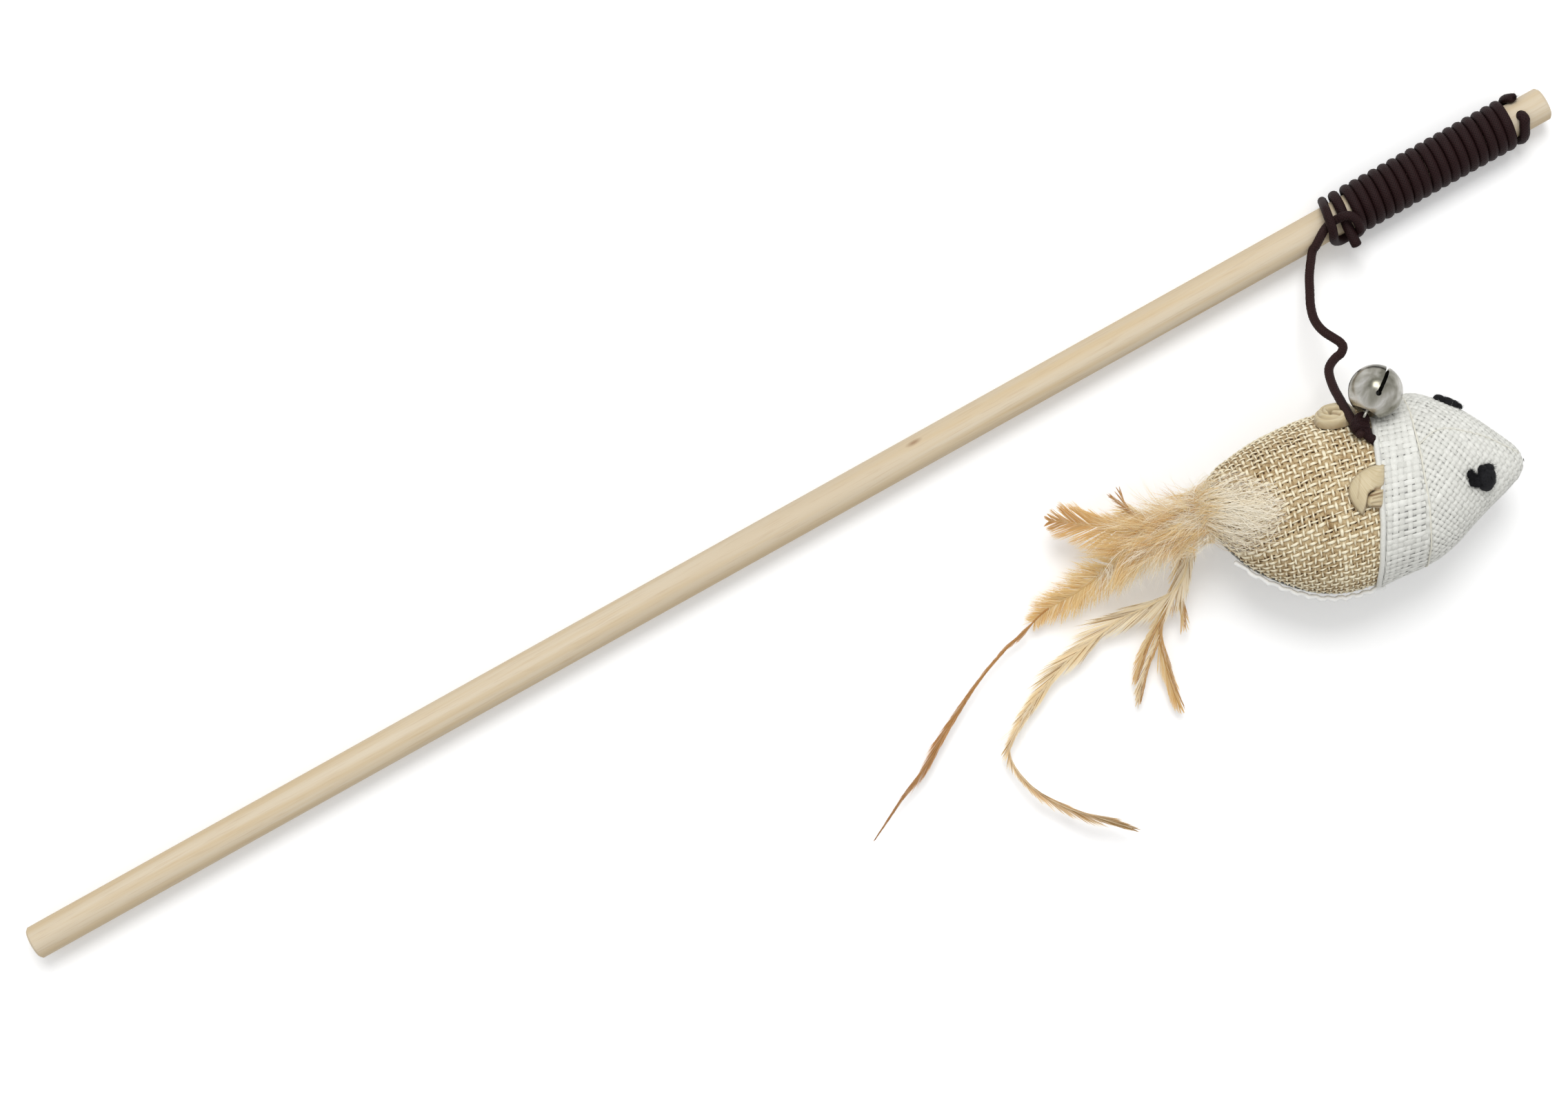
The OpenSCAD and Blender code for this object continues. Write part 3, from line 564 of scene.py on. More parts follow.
def smooth(xs, ys):
    """Smooth curve through a table."""
    d = np.gradient(ys, xs)

    def at(x):
        x = np.clip(x, xs[0], xs[-1])
        i = np.clip(np.searchsorted(xs, x, "right") - 1, 0, len(xs) - 2)
        h = xs[i + 1] - xs[i]
        t = (x - xs[i]) / h
        return ((1 + 2 * t) * (1 - t) ** 2 * ys[i] + t * (1 - t) ** 2 * h * d[i]
                + t * t * (3 - 2 * t) * ys[i + 1] + t * t * (t - 1) * h * d[i + 1])
    return at


width_at, height_at, shift_at = (smooth(FORM[:, 0], FORM[:, k]) for k in (1, 2, 3))


def on_mouse(along, side, z):
    """A place in mm along the mouse from its rump, to its left, and up."""
    x = rump[0] + along * math.cos(mouse_turn) - side * math.sin(mouse_turn)
    y = rump[1] + along * math.sin(mouse_turn) + side * math.cos(mouse_turn)
    return np.stack(np.broadcast_arrays(x, y, z), -1)


def surf(s, a, depth=0.0):
    """A point of the skin, or below it: s is the share of the length, a the angle round it in degrees."""
    s, a, depth = (np.asarray(v, float) for v in np.broadcast_arrays(s, a, depth))
    ca, sa = np.cos(np.radians(a)), np.sin(np.radians(a))
    side = (shift_at(s) + width_at(s) * ca) * half_w - depth * ca
    rise = (height_at(s) * half_h - depth) * sa
    lean = np.interp(s, [0.2, 0.52, 0.59, 0.66], [0, 0.1, 0.1, 0])
    z = np.maximum(mid_z + rise, floor_z + np.maximum(depth, 0))
    return on_mouse(mouse_l * s + lean * side, side, z)


def normal(s, a):
    s, a = np.asarray(s), np.asarray(a)
    step = 0.006
    return unit(np.cross(surf(s, a + 3) - surf(s, a - 3), surf(s + step, a) - surf(s - step, a)))


class Cloth:
    """Lays flat cloth on the form: p runs along it from s_ref, q round it from the back seam."""
    rows, columns, steps = 160, 241, 700

    def __init__(self, s_lo, s_hi, a_lo, a_hi, s_ref, warp=None):
        self.warp = warp
        self.s = np.linspace(s_lo, s_hi, self.rows)
        a = np.linspace(a_lo, a_hi, self.columns)
        grid = surf(self.s[:, None], a[None])
        mid = int(np.argmin(abs(a - back)))
        p = run_along(grid[:, mid])
        self.p = p - np.interp(s_ref, self.s, p)
        q = np.array([run_along(row) for row in grid])
        q = q - q[:, mid:mid + 1]
        self.q = np.linspace(q.min() - 1, q.max() + 1, self.steps)
        self.a = np.array([np.interp(self.q, row, a, left=np.nan, right=np.nan) for row in q])

    def place(self, p, q):
        """Share of the length and angle of flat places, or nan past the cloth's edges."""
        i = np.interp(p, self.p, np.arange(self.rows), left=np.nan, right=np.nan)
        j = np.interp(q, self.q, np.arange(self.steps), left=np.nan, right=np.nan)
        bad = np.isnan(i) | np.isnan(j)
        i, j = np.where(bad, 0, i), np.where(bad, 0, j)
        i0 = np.minimum(i.astype(int), self.rows - 2)
        j0 = np.minimum(j.astype(int), self.steps - 2)
        fi, fj = i - i0, j - j0
        a = ((1 - fi) * (1 - fj) * self.a[i0, j0] + (1 - fi) * fj * self.a[i0, j0 + 1]
             + fi * (1 - fj) * self.a[i0 + 1, j0] + fi * fj * self.a[i0 + 1, j0 + 1])
        s = np.interp(i, np.arange(self.rows), self.s)
        s = s + self.warp(s, a) if self.warp else s
        return np.where(bad, np.nan, s), np.where(bad, np.nan, a)


def soft_noise(r, count, n, every):
    """Smooth random values along each of a number of lines."""
    raw = r.normal(0, 1, (count, int(n / every) + 3))
    x = np.arange(n) / every
    i = x.astype(int)
    t = x - i
    t = t * t * (3 - 2 * t)
    return raw[:, i] * (1 - t) + raw[:, i + 1] * t


def weave(bag, cloth, angle, spacing, widths, thick, wave, lift, span, seed, wander=0.05, slub=0.12,
          tones=(0.5, 0.5), edge=0.15, painted_crown_light=0.2, shift=(0, 0)):
    """Two crossing sets of yarns, over and under each other, laid on the form. Numbers to a set are
    spacing, widths, thick, tones and shift. A yarn's drift, width and shade vary along it."""
    drift_run, width_run, shade_run = 14, 22, 9
    yarn_shade, patch_shade = 0.22, 0.08
    r = np.random.default_rng(seed)
    ca, sa = math.cos(math.radians(angle)), math.sin(math.radians(angle))
    section = np.radians([-105, -58, 0, 58, 105])
    for which in (0, 1):
        gap, other = spacing[which], spacing[1 - which]
        count = int(2 * span / gap) + 1
        order = np.arange(count) - count // 2
        step = other / 4
        n = int(2 * span / step) + 1
        run = (np.arange(n) - n // 2) * step
        drift = soft_noise(r, count, n, drift_run) * wander * gap
        fat = 1 + soft_noise(r, count, n, width_run) * slub + r.normal(0, slub, (count, 1))
        across = ((order + shift[which]) * gap)[:, None] + drift
        along = np.broadcast_to(run[None], across.shape)
        u, w = (along, across) if which == 0 else (across, along)
        s, a = cloth.place(u * ca - w * sa, u * sa + w * ca)
        centre = surf(s, a)
        out = normal(s, a)
        lateral = unit(np.cross(out, np.gradient(centre, axis=1)))
        ripple = (1 - 2 * which) * np.cos(np.pi * run[None] / other + np.pi * order[:, None])
        high = (lift(s) if callable(lift) else lift) + wave * ripple
        half = widths[which] / 2 * np.clip(fat, 0.6, 1.6)
        ring = (centre[:, :, None]
                + out[:, :, None] * (high[..., None, None] + thick[which] * np.cos(section)[:, None])
                + lateral[:, :, None] * (half[..., None, None] * np.sin(section)[:, None]))
        ok = np.isfinite(ring).all((2, 3))
        index = np.full(ok.shape, -1)
        index[ok] = np.arange(ok.sum()) * len(section)
        both = ok[:, :-1] & ok[:, 1:]
        a0, b0 = (part[both][:, None] + np.arange(len(section) - 1)
                  for part in (index[:, :-1], index[:, 1:]))
        faces = np.stack([a0, b0, b0 + 1, a0 + 1], -1).reshape(-1, 4)
        verts = ring[ok].reshape(-1, 3)
        verts[:, 2] = np.maximum(verts[:, 2], floor_z)
        mark = r.random(count)
        # The crown term paints yarns lighter where they pass over and darker where they pass under: painted
        # highlight and shade.
        shade = (tones[which] + yarn_shade * (mark - 0.5)[:, None]
                 + patch_shade * soft_noise(r, count, n, shade_run) + painted_crown_light * ripple)
        tone = np.zeros((*ok.shape, len(section), 3))
        # edge paints each yarn darker towards its sides: painted shade.
        tone[..., 0] = shade[..., None] - edge * np.array([1, 0.25, 0, 0.25, 1])
        tone[..., 2] = ((mark + which * 0.37) % 1.0)[:, None, None]
        uv = np.empty((*ok.shape, len(section), 2))
        uv[..., 0] = np.linspace(0, 1, len(section))
        uv[..., 1] = run[None, :, None]
        bag.add(verts, faces.tolist(), uv[ok].reshape(-1, 2), np.clip(tone[ok].reshape(-1, 3), 0, 1))


def under_skin(bag, s, a, depth, closed=False):
    """A dark backing below the yarns, in the piece's second material: painted shade that shows through the
    gaps of the weave.
    """
    grid = surf(s[:, None], a[None], depth)
    faces = grid_faces(len(s), len(a), closed)
    if closed:
        faces.append([(len(s) - 1) * len(a) + k for k in range(len(a))])
    bag.add(grid.reshape(-1, 3), faces, mat=1)


def hairs(bag, count, s_range, a_reach, length, width, seed, shade):
    """Stray fibres that stand out of a woven skin."""
    r = np.random.default_rng(seed)
    s = r.uniform(*s_range, count)
    a = r.uniform(back - a_reach, back + a_reach, count)
    out = normal(s, a)
    way = unit(out * r.uniform(0.1, 0.9, (count, 1)) + r.normal(0, 0.8, (count, 3)))
    tones = (np.full(count, shade), r.random(count))
    verts, faces, uv, tone = ribbons(surf(s, a), way, out, r.uniform(*length, count), np.full(count, width),
                                     r.normal(0, 0.5, count), r.normal(0, 0.4, count), 5, tones, floor_z)
    tone[:, 1] = 0.0
    bag.add(verts, faces, uv, tone)


white_yarn = yarn_material("white_yarn", [(0.15, (0.50, 0.50, 0.465)), (0.48, (0.66, 0.66, 0.615)),
                                         (0.8, (0.84, 0.84, 0.79))], (0.72, 0.66, 0.48), 0.6, strength=0.25)
# Grey for the gaps in the white weave: painted shade.
white_gap_shade = plain_material("white_shadow", (0.48, 0.48, 0.46), (0.64, 0.64, 0.62), 700)


def body_skin():
    """Burlap over the back and sides: fine pale yarns on wider and darker ones, which are partly the burlap's
    tan ground and partly painted shadow lines where their edges show beside the pale yarns.
    """
    yarn = yarn_material("burlap_yarn", [(0.16, (0.14, 0.075, 0.03)), (0.4, (0.42, 0.29, 0.145)),
                                        (0.62, (0.62, 0.495, 0.30)), (0.88, (0.97, 0.90, 0.69))],
                         (0.30, 0.19, 0.10), 0.5)
    # Dark brown for the gaps in the burlap: painted shade.
    burlap_gap_shade = plain_material("burlap_shadow", (0.045, 0.022, 0.009), (0.13, 0.072, 0.032), 900)
    bag = Bag()
    under_skin(bag, np.linspace(0.0, neck, 60), np.linspace(back - 120, back + 120, 97), 0.62)
    cloth = Cloth(0.0, neck, back - 119.6, back + 119.6, 0.35)
    # The wider, darker set lies under the pale yarns, shifted so that its darker edges show beside them as
    # painted shadow lines.
    weave(bag, cloth, angle=-6, spacing=(1.6, 1.44), widths=(1.08, 0.78), thick=(0.06, 0.06), wave=0.07,
          lift=-0.44, span=62, seed=21, wander=0.16, slub=0.22, tones=(0.45, 0.41), edge=0.45, painted_crown_light=0.14,
          shift=(0.68, 0.72))
    weave(bag, cloth, angle=-6, spacing=(1.6, 1.44), widths=(0.56, 0.5), thick=(0.2, 0.17), wave=0.22,
          lift=-0.3, span=62, seed=21, wander=0.13, slub=0.2, tones=(0.86, 0.68), edge=0.6, painted_crown_light=0.46)
    hairs(bag, count=500, s_range=(0.02, 0.53), a_reach=115, length=(0.6, 2.2), width=0.05, seed=31,
          shade=0.75)
    bag.make("body_burlap", [yarn, burlap_gap_shade], "mouse", "body_skin")


def belly_panel():
    """White cloth below, with its folded edge showing along both seams."""
    # Brighter than the white yarn, so that the folded edge shows white in the shade below the mouse: the
    # cloth's white, partly painted light.
    fold = plain_material("white_fold_lit", (0.90, 0.90, 0.88), (0.97, 0.97, 0.95), 900)
    bag = Bag()
    under_skin(bag, np.linspace(0.0, neck, 40), np.linspace(back + 120.4, back + 239.6, 40), 0.5)
    cloth = Cloth(0.0, neck, back + 120.4, back + 239.6, 0.35)
    weave(bag, cloth, angle=0, spacing=(1.2, 1.2), widths=(0.98, 0.98), thick=(0.1, 0.1), wave=0.1,
          lift=-0.25, span=60, seed=23, tones=(0.6, 0.6))
    s = np.linspace(0.09, 0.55, 70)
    long_wave, short_wave = 3.1, 1.3
    ripple = (0.25 * np.sin(s * mouse_l / long_wave * 2 * np.pi)
              + 0.1 * np.sin(s * mouse_l / short_wave * 2 * np.pi))
    for edge, way in ((back + 120.2, 1), (back - 120.2, -1)):
        path = surf(s, edge - way * 0.6, -1.0) + normal(s, edge) * (0.9 * ripple)[:, None]
        bag.add(*tube(path, 0.72 + 0.3 * ripple, 10, flat=(1.0, 0.8), floor=floor_z), tone=(1.0, 0, 0.3),
                mat=2)
    bag.make("belly_cloth", [white_yarn, white_gap_shade, fold], "mouse", "belly_panel")


def head_skin():
    """White cloth cone, with the stitched seam along its back."""
    bag = Bag()
    under_skin(bag, np.linspace(neck, 1.004, 60), RING, 0.42, closed=True)
    cloth = Cloth(neck, 1.0, back - 180, back + 180, 0.78)
    weave(bag, cloth, angle=40, spacing=(1.3, 1.3), widths=(1.14, 1.08), thick=(0.13, 0.13), wave=0.12,
          lift=-0.24, span=62, seed=25, slub=0.1, tones=(0.54, 0.46), edge=0.2, painted_crown_light=0.26)
    s = np.linspace(0.662, 0.985, 60)
    seam = back + 10 * np.clip((0.8 - s) / 0.14, 0, 1) ** 2 + 0.9 * np.sin(s * 40)
    bag.add(*tube(surf(s, seam, 0.02), 0.15, 6), tone=(0.8, 0.45, 0.3))
    stitches, first_stitch, stitch_pitch, stitch_l = 11, 0.668, 0.028, 0.012
    for k in range(stitches):
        start = first_stitch + stitch_pitch * k
        across = np.interp(start, s, seam) + np.linspace(-1.2, 1.0, 4)
        stitch = surf(np.linspace(start, start + stitch_l, 4), across, -0.12)
        bag.add(*tube(stitch, 0.09, 5), tone=(0.95, 0.1, 0.3))
    hairs(bag, count=160, s_range=(0.66, 0.98), a_reach=170, length=(0.5, 1.5), width=0.04, seed=32,
          shade=0.9)
    bag.make("head_cloth", [white_yarn, white_gap_shade], "mouse", "head_skin")


def collar_lift(s):
    """Height of the folded band above the skin: full at its rear fold, low at the front seam."""
    least, top, fold = 0.02, 0.84, 0.006
    a = np.clip((s - collar_rear) / fold, 0, 1)
    b = np.clip((collar_front - s) / (collar_front - collar_rear), 0, 1)
    return least + top * np.sqrt(np.clip(1 - (1 - a) ** 2, 0, 1)) * b ** 0.75


def collar_warp(s, a):
    """Shift along the mouse that lets the rear fold run straight across the back."""
    share = np.clip((collar_front - s) / (collar_front - collar_rear), 0, 1)
    return -0.014 * np.maximum(np.sin(np.radians(a)), 0) * share


def collar_band():
    """Folded cloth over the neck seam, with a rolled rear fold and a thin seam line at the front."""
    bag = Bag()
    s = np.linspace(collar_rear, collar_front, 24)[:, None]
    # The band's underlayer takes the grey painted gap shade.
    grid = surf(s + collar_warp(s, RING[None]), RING[None], -(collar_lift(s) - 0.24))
    bag.add(grid.reshape(-1, 3), grid_faces(len(s), len(RING)), mat=1)
    cloth = Cloth(collar_rear + 0.004, collar_front, back - 180, back + 180, collar_rear + 0.012,
                  collar_warp)
    weave(bag, cloth, angle=2, spacing=(1.38, 1.38), widths=(1.3, 1.28), thick=(0.1, 0.1), wave=0.1,
          lift=collar_lift, span=74, seed=27, slub=0.08, tones=(0.55, 0.5), edge=0.12, painted_crown_light=0.17)
    a = np.linspace(back - 180, back + 180, 145)
    waver = 0.0008 * np.sin(np.radians(a * 11)) + 0.001 * np.sin(np.radians(a * 4))
    over_seam = 0.75 * np.exp(-((a - back) / 5) ** 2)
    for place, radius, lift, tone in ((collar_rear + 0.004, 0.64, 0.36 + over_seam, (0.66, 0.0, 0.4)),
                                      (collar_front + 0.0006, 0.2, 0.08, (0.8, 0.6, 0.4))):
        line = place + waver
        path = surf(line + collar_warp(line, a), a, -lift)
        bag.add(*tube(path, radius, 10, floor=floor_z), tone=tone)
    bag.make("collar_cloth", [white_yarn, white_gap_shade], "mouse", "collar_band")


def filling():
    """Puffy fibre, seen only through gaps in the weave."""
    rows, sides = 40, 48
    puffs = 0.5 + 0.4 * rng.random((rows, sides))
    s = np.linspace(0.12, 0.965, rows)
    grid = surf(s[:, None], np.linspace(0, 352.5, sides)[None], 1.1 + 0.35 * puffs)
    caps = [list(range(sides - 1, -1, -1)), [(rows - 1) * sides + k for k in range(sides)]]
    bag = Bag()
    bag.add(grid.reshape(-1, 3), grid_faces(rows, sides) + caps)
    fibre = plain_material("filling_fibre", (0.72, 0.72, 0.70), (0.88, 0.88, 0.86), 500)
    stuffing = bag.make("stuffing_fibre", [fibre], "mouse", "stuffing")


def leaf(bag, s0, a0, outline, height, folds, rings, seat=0.12, tip_turn=9.3, squash=1.0, power=2.4,
         ridges=0):
    """A pillowy folded leaf on the skin. Outline points are (forward, down the side) in mm from
    the place s0, a0; folds are ridge or crease lines ((x, y, x2, y2, width, height, dark), ...),
    where dark is painted shade along the line. The rim, the underside and the grooves of ridges get painted
    shade too."""
    c, sn = math.cos(math.radians(tip_turn)), math.sin(math.radians(tip_turn))
    turned = np.array([[c, -sn], [sn, c]])
    pts = curve(np.array([[*p, 0.0] for p in outline + outline[:1]]), 8)[:-1, :2] @ turned.T
    mid = pts.mean(0)
    n = len(pts)
    rho = np.linspace(0.001, 1, rings)
    xy = mid + (pts - mid)[None] * rho[:, None, None]
    flat = xy @ turned
    h = height * np.clip(1 - rho ** power, 0, 1)[:, None] ** 0.5 * np.ones((1, n)) + 0.05
    # Painted shade: darker towards the leaf's rim.
    dark = 0.55 * np.clip((rho - 0.9) / 0.1, 0, 1)[:, None] * np.ones((1, n))
    if ridges:
        wave = np.cos(rho * 2 * np.pi * ridges)[:, None] * np.clip((rho - 0.3) / 0.2, 0, 1)[:, None]
        side = np.clip(0.5 - 0.9 * (flat[..., 0] - mid[0]) / 4, 0.15, 1)
        h = h + 0.2 * wave * side
        # Painted shade in the grooves between ridges.
        dark = np.maximum(dark, 0.65 * np.clip(-wave - 0.3, 0, 1) * side)
    for x1, y1, x2, y2, wide, up, shade in folds:
        start, d = np.array([x1, y1]), np.array([x2 - x1, y2 - y1])
        t = np.clip((flat - start) @ d / (d @ d), 0, 1)
        far = np.linalg.norm(flat - start - t[..., None] * d, axis=-1)
        h = h + up * np.exp(-(far / wide) ** 2)
        # Painted shade along each fold's line.
        dark = np.maximum(dark, shade * np.exp(-(far / (0.8 * wide)) ** 2))
    radius = np.linalg.norm(surf(s0, a0 + 2) - surf(s0, a0 - 2)) / math.radians(4)
    s = s0 + xy[..., 0] / mouse_l
    a = a0 + np.degrees(xy[..., 1] * squash / radius)
    top = surf(s, a) + normal(s, a) * (seat + np.maximum(h, 0.05))[..., None]
    low = surf(s[-1], a[-1]) + normal(s[-1], a[-1]) * seat
    faces = grid_faces(rings + 1, n, turned=True) + [list(range(n - 1, -1, -1))]
    uv = np.stack([flat[..., 1] * 0.3 + 0.05 * flat[..., 0] ** 2, flat[..., 0] * 0.3], -1).reshape(-1, 2)
    tone = np.zeros(((rings + 1) * n, 3))
    # The ring below the leaf's rim is painted dark as shade.
    tone[:, 1] = np.append(dark.ravel(), np.full(n, 0.6))
    bag.add(np.vstack([top.reshape(-1, 3), low]), faces, np.vstack([uv, uv[-n:]]), tone)


def ears():
    """Folded raffia leaves: the near one cut off by the collar, with a second fold, the far one rolled."""
    raffia = leaf_material()
    bag = Bag()
    leaf(bag, ear_edge, back + 29.5,
         [(0.8, -5.2), (-1.9, -5.2), (-3.8, -4.4), (-5.6, -3.1), (-6.8, -1.4), (-7.1, 0.4), (-6.7, 2.2),
          (-5.8, 3.7), (-4.6, 5.2), (-3.3, 6.2), (-2.8, 4.6), (-2.6, 2.2), (-1.6, 0.9), (0.8, 0.6)], 2.0,
         [(-3.4, 6.0, -2.6, 2.0, 0.35, -0.5, 0.6), (-5.9, -2.2, -4.2, 3.6, 0.5, 0.12, 0.1),
          (-3.2, -3.8, -2.4, 0.4, 0.6, 0.15, 0.0), (-2.6, 1.6, -1.2, 0.6, 0.4, -0.5, 0.9),
          (-1.2, 0.6, 0.8, 0.3, 0.4, -0.5, 0.9), (-4.9, -3.2, -5.2, 2.4, 0.22, -0.12, 0.3)],
         squash=0.93, rings=30)
    leaf(bag, ear_edge, back + 29.5,
         [(0.8, 0.7), (-1.2, 0.9), (-2.3, 1.6), (-2.9, 2.8), (-2.7, 4.0), (-1.4, 4.6), (0.8, 4.7)], 1.9,
         [(-2.3, 1.9, 0.3, 1.5, 0.3, -0.4, 1.0), (-1.9, 2.6, 0.3, 2.3, 0.22, -0.2, 0.6),
          (-2.0, 3.6, 0.3, 3.4, 0.25, -0.2, 0.5), (-1.8, 4.4, 0.8, 4.5, 0.3, -0.1, 0.9)],
         seat=0.3, rings=24, squash=0.93)
    bag.make("ear_near_leaf", [raffia], "mouse", "ear_near")
    bag = Bag()
    leaf(bag, 0.424, back - 30,
         [(4.2, -2.2), (2.6, -3.3), (0.2, -3.7), (-2.2, -3.2), (-3.9, -1.6), (-4.3, 0.4), (-3.6, 2.4),
          (-1.6, 3.6), (0.9, 3.9), (3.2, 3.4), (4.3, 2.0), (4.6, 0.0)], 3.1,
         [(-0.9, 0.2, 1.7, 1.0, 0.42, -1.8, 1.0), (1.7, 1.0, 2.6, 2.4, 0.35, -0.8, 0.9),
          (-0.9, 0.2, -0.9, 1.4, 0.35, -0.9, 0.9), (-0.9, 1.4, 0.8, 2.4, 0.35, -0.5, 0.7)],
         tip_turn=0, power=3, rings=36, ridges=4.5)
    bag.make("ear_far_leaf", [raffia], "mouse", "ear_far")


def eye(name, s0, a0, lobes, node, seed, fuzz, material):
    """Knotted yarn: low lobes (forward, side, two radii, height) in mm, with fuzz round them."""
    r = np.random.default_rng(seed)
    out = normal(s0, a0)
    ahead = unit(surf(s0 + 0.01, a0) - surf(s0 - 0.01, a0))
    side = unit(np.cross(out, ahead))
    centre = surf(s0, a0)
    rings, sides, roundness, grain, sink = 12, 30, 2.6, 0.06, 0.1
    rho = np.linspace(0.02, 1, rings)[:, None]
    th = np.linspace(0, 2 * np.pi, sides + 1)[None, :-1]
    bag = Bag()
    for lx, ly, rx, ry, h in lobes:
        lump = 1 + 0.03 * np.sin(3 * th + lx) + 0.03 * np.sin(7 * th + ly)
        x, y = lx + rx * rho * np.cos(th) * lump, ly + ry * rho * np.sin(th) * lump
        z = h * np.sqrt(np.clip(1 - rho ** roundness, 0, 1))
        z = z + grain * r.normal(0, 1, (rings, sides)) * (rho < 0.97)
        z = z + 0.14 * np.cos(9 * x) * np.cos(9 * y) * (1 - rho)
        v = centre + out * (np.maximum(z, 0)[..., None] - sink) + ahead * x[..., None] + side * y[..., None]
        faces = grid_faces(rings, sides, turned=True) + [list(range(sides - 1, -1, -1))]
        bag.add(v.reshape(-1, 3), faces)
        k = fuzz if h > 0.8 else 2 * fuzz
        ang, ph = r.uniform(0, 2 * np.pi, k), r.uniform(0.3, 1.0, k)
        fx, fy = np.cos(ang), np.sin(ang)
        root = (centre + ahead * (lx + rx * ph * fx)[:, None] + side * (ly + ry * ph * fy)[:, None]
                + out * (h * 0.6 * np.sqrt(1 - ph ** 2))[:, None])
        way = unit(ahead * fx[:, None] + side * fy[:, None] + out * r.uniform(0, 1.2, (k, 1))
                   + r.normal(0, 0.35, (k, 3)))
        lengths, bend, droop = r.uniform(0.4, 1.1, k), r.normal(0, 0.4, k), r.normal(0, 0.3, k)
        tones = (r.random(k), r.random(k))
        bag.add(*ribbons(root, way, np.broadcast_to(out, (k, 3)), lengths, np.full(k, 0.06), bend, droop, 4,
                         tones))
    bag.make(name, [material], "mouse", node)


def eyes():
    yarn = plain_material("black_yarn", (0.002, 0.002, 0.003), (0.009, 0.009, 0.011), 2600, sheen=0.03)
    eye("eye_near_yarn", 0.857, back + 47,
        [(-0.3, -0.9, 2.7, 3.0, 1.9), (0.5, 1.0, 1.7, 1.3, 1.5), (-1.3, 1.3, 1.1, 1.1, 1.3),
         (-5.0, 1.1, 0.9, 0.9, 0.5), (-4.2, -0.4, 1.4, 1.5, 0.4), (-3.0, -0.9, 1.4, 1.5, 0.8)],
        "eye_near", 41, 230, yarn)
    eye("eye_far_yarn", 0.787, back - 44,
        [(-1.1, 0.2, 1.6, 1.5, 1.2), (0.7, -0.2, 1.5, 1.7, 1.35), (2.2, 0.2, 1.4, 1.5, 1.15),
         (3.4, 0.0, 1.0, 1.2, 0.9)], "eye_far", 43, 200, yarn)


body_skin()
belly_panel()
head_skin()
collar_band()
filling()
ears()
eyes()

# Knot, its loop through the bell's wire eye, and the cord's end. The bell swings about bell_side.
knot_at = knot_c + [0.75, 0.4, 0.25]
tie_c = np.array([323.12, -42.36, 26.9927])
bell_axis = np.array([0.822119, 0.565026, -0.0697565])
bell_side = unit(np.cross(bell_axis, [0.0, 0.0, 1.0]))
bell_up = np.cross(bell_side, bell_axis)
swing_pivot = np.array([324.066, -41.71, 26.913])


def knot_wrap(shift, tilt, start):
    """One wrap of the knot, a little more than a turn round the cord."""
    wrap_turns, lead, half_wide, half_high = 1.05, 0.5, 1.3, 1.2
    across = unit(np.cross(entry, [0.0, 0.0, 1.0]))
    t = np.linspace(0, wrap_turns, 30)
    ang = 2 * np.pi * (t + start)
    along = shift + lead * (t - wrap_turns / 2) + tilt * np.cos(ang)
    return (knot_at + entry * along[:, None] + across * (half_wide * np.cos(ang))[:, None]
            + np.cross(entry, across) * (half_high * np.sin(ang))[:, None])


def clear_of_bell(points):
    """Presses the knot's cord out of the way of the bell in the last part of its swing. Sizes are
    with a margin: the bell's radius, its centre to its flat base, and the pivot to its centre."""
    bell_r, base, from_pivot = 6.32, 5.36, 5.94
    for degrees in (45, 50, 55, 60):
        swung = math.cos(math.radians(degrees)) * bell_axis + math.sin(math.radians(degrees)) * bell_up
        away = points - (swing_pivot + from_pivot * swung)
        far = np.linalg.norm(away, axis=1)
        past_base = away @ swung + base
        depth = np.clip(np.minimum(bell_r - far, past_base), 0, None)
        at_base = (past_base < bell_r - far)[:, None]
        points = points + depth[:, None] * np.where(at_base, -swung, away / far[:, None])
    return points


def knot():
    """Two wraps round the cord, two strands to the wire eye, and the loop through it."""
    wrap_r, core_r, strand_r, eye_cord_r, loop_r = 0.92, 1.1, 0.85, 0.66, 1.15
    bag = Bag()
    for wrap in ((-0.75, 0.3, 0.0), (0.75, -0.25, 0.35)):
        bag.add(*tube(knot_wrap(*wrap), wrap_r, 12, entry))
    bag.add(*tube([knot_at - entry * 1.7, knot_at, knot_at + entry * 1.4], core_r, 12))
    for lean in (-0.5, 0.5):
        strand = [knot_at + [0, lean, -0.4], 0.5 * (knot_at + tie_c) + [0.2, lean * 1.3, 0.5],
                  tie_c + [0.1, lean, 0.2]]
        bag.add(*tube(curve(strand, 6), strand_r, 12))
    t = np.append(np.linspace(0, 2 * np.pi, 29)[:-1], 0)[:, None]
    loop = tie_c + bell_axis * loop_r * np.cos(t) + bell_side * loop_r * np.sin(t)
    bag.add(*tube(loop, eye_cord_r, 10))
    bag.verts = [clear_of_bell(part) for part in bag.verts]
    bag.make("knot_wraps", [cord_wound], "mouse", "tie_knot")


def cord_stub():
    """The cord's end, from the knot to below the collar's fold."""
    end = surf(0.506, back - 2, -0.95)
    way = unit(np.array([0.412317, -0.877439, 0.245143]))
    path = curve([knot_at + way * 0.8, knot_at + way * 2.2, 0.4 * knot_at + 0.6 * end + [0, 0, 0.2], end,
                  surf(0.513, back - 1, -0.8), surf(0.519, back - 0.3, -0.35)], 6)
    bag = Bag()
    bag.add(*tube(path, np.linspace(1.05, 1.1, len(path)), 14))
    bag.make("stub_strand", [cord_wound], "mouse", "cord_stub", toned=False)


knot()
cord_stub()
finish_nodes(["bell_shell", "bell_eye"], nickel_material())
pellet_steel = plain_material("pellet_steel", (0.10, 0.10, 0.10), (0.2, 0.2, 0.2), 600, 0.35, metal=1.0)
finish_nodes(["bell_pellet"], pellet_steel)


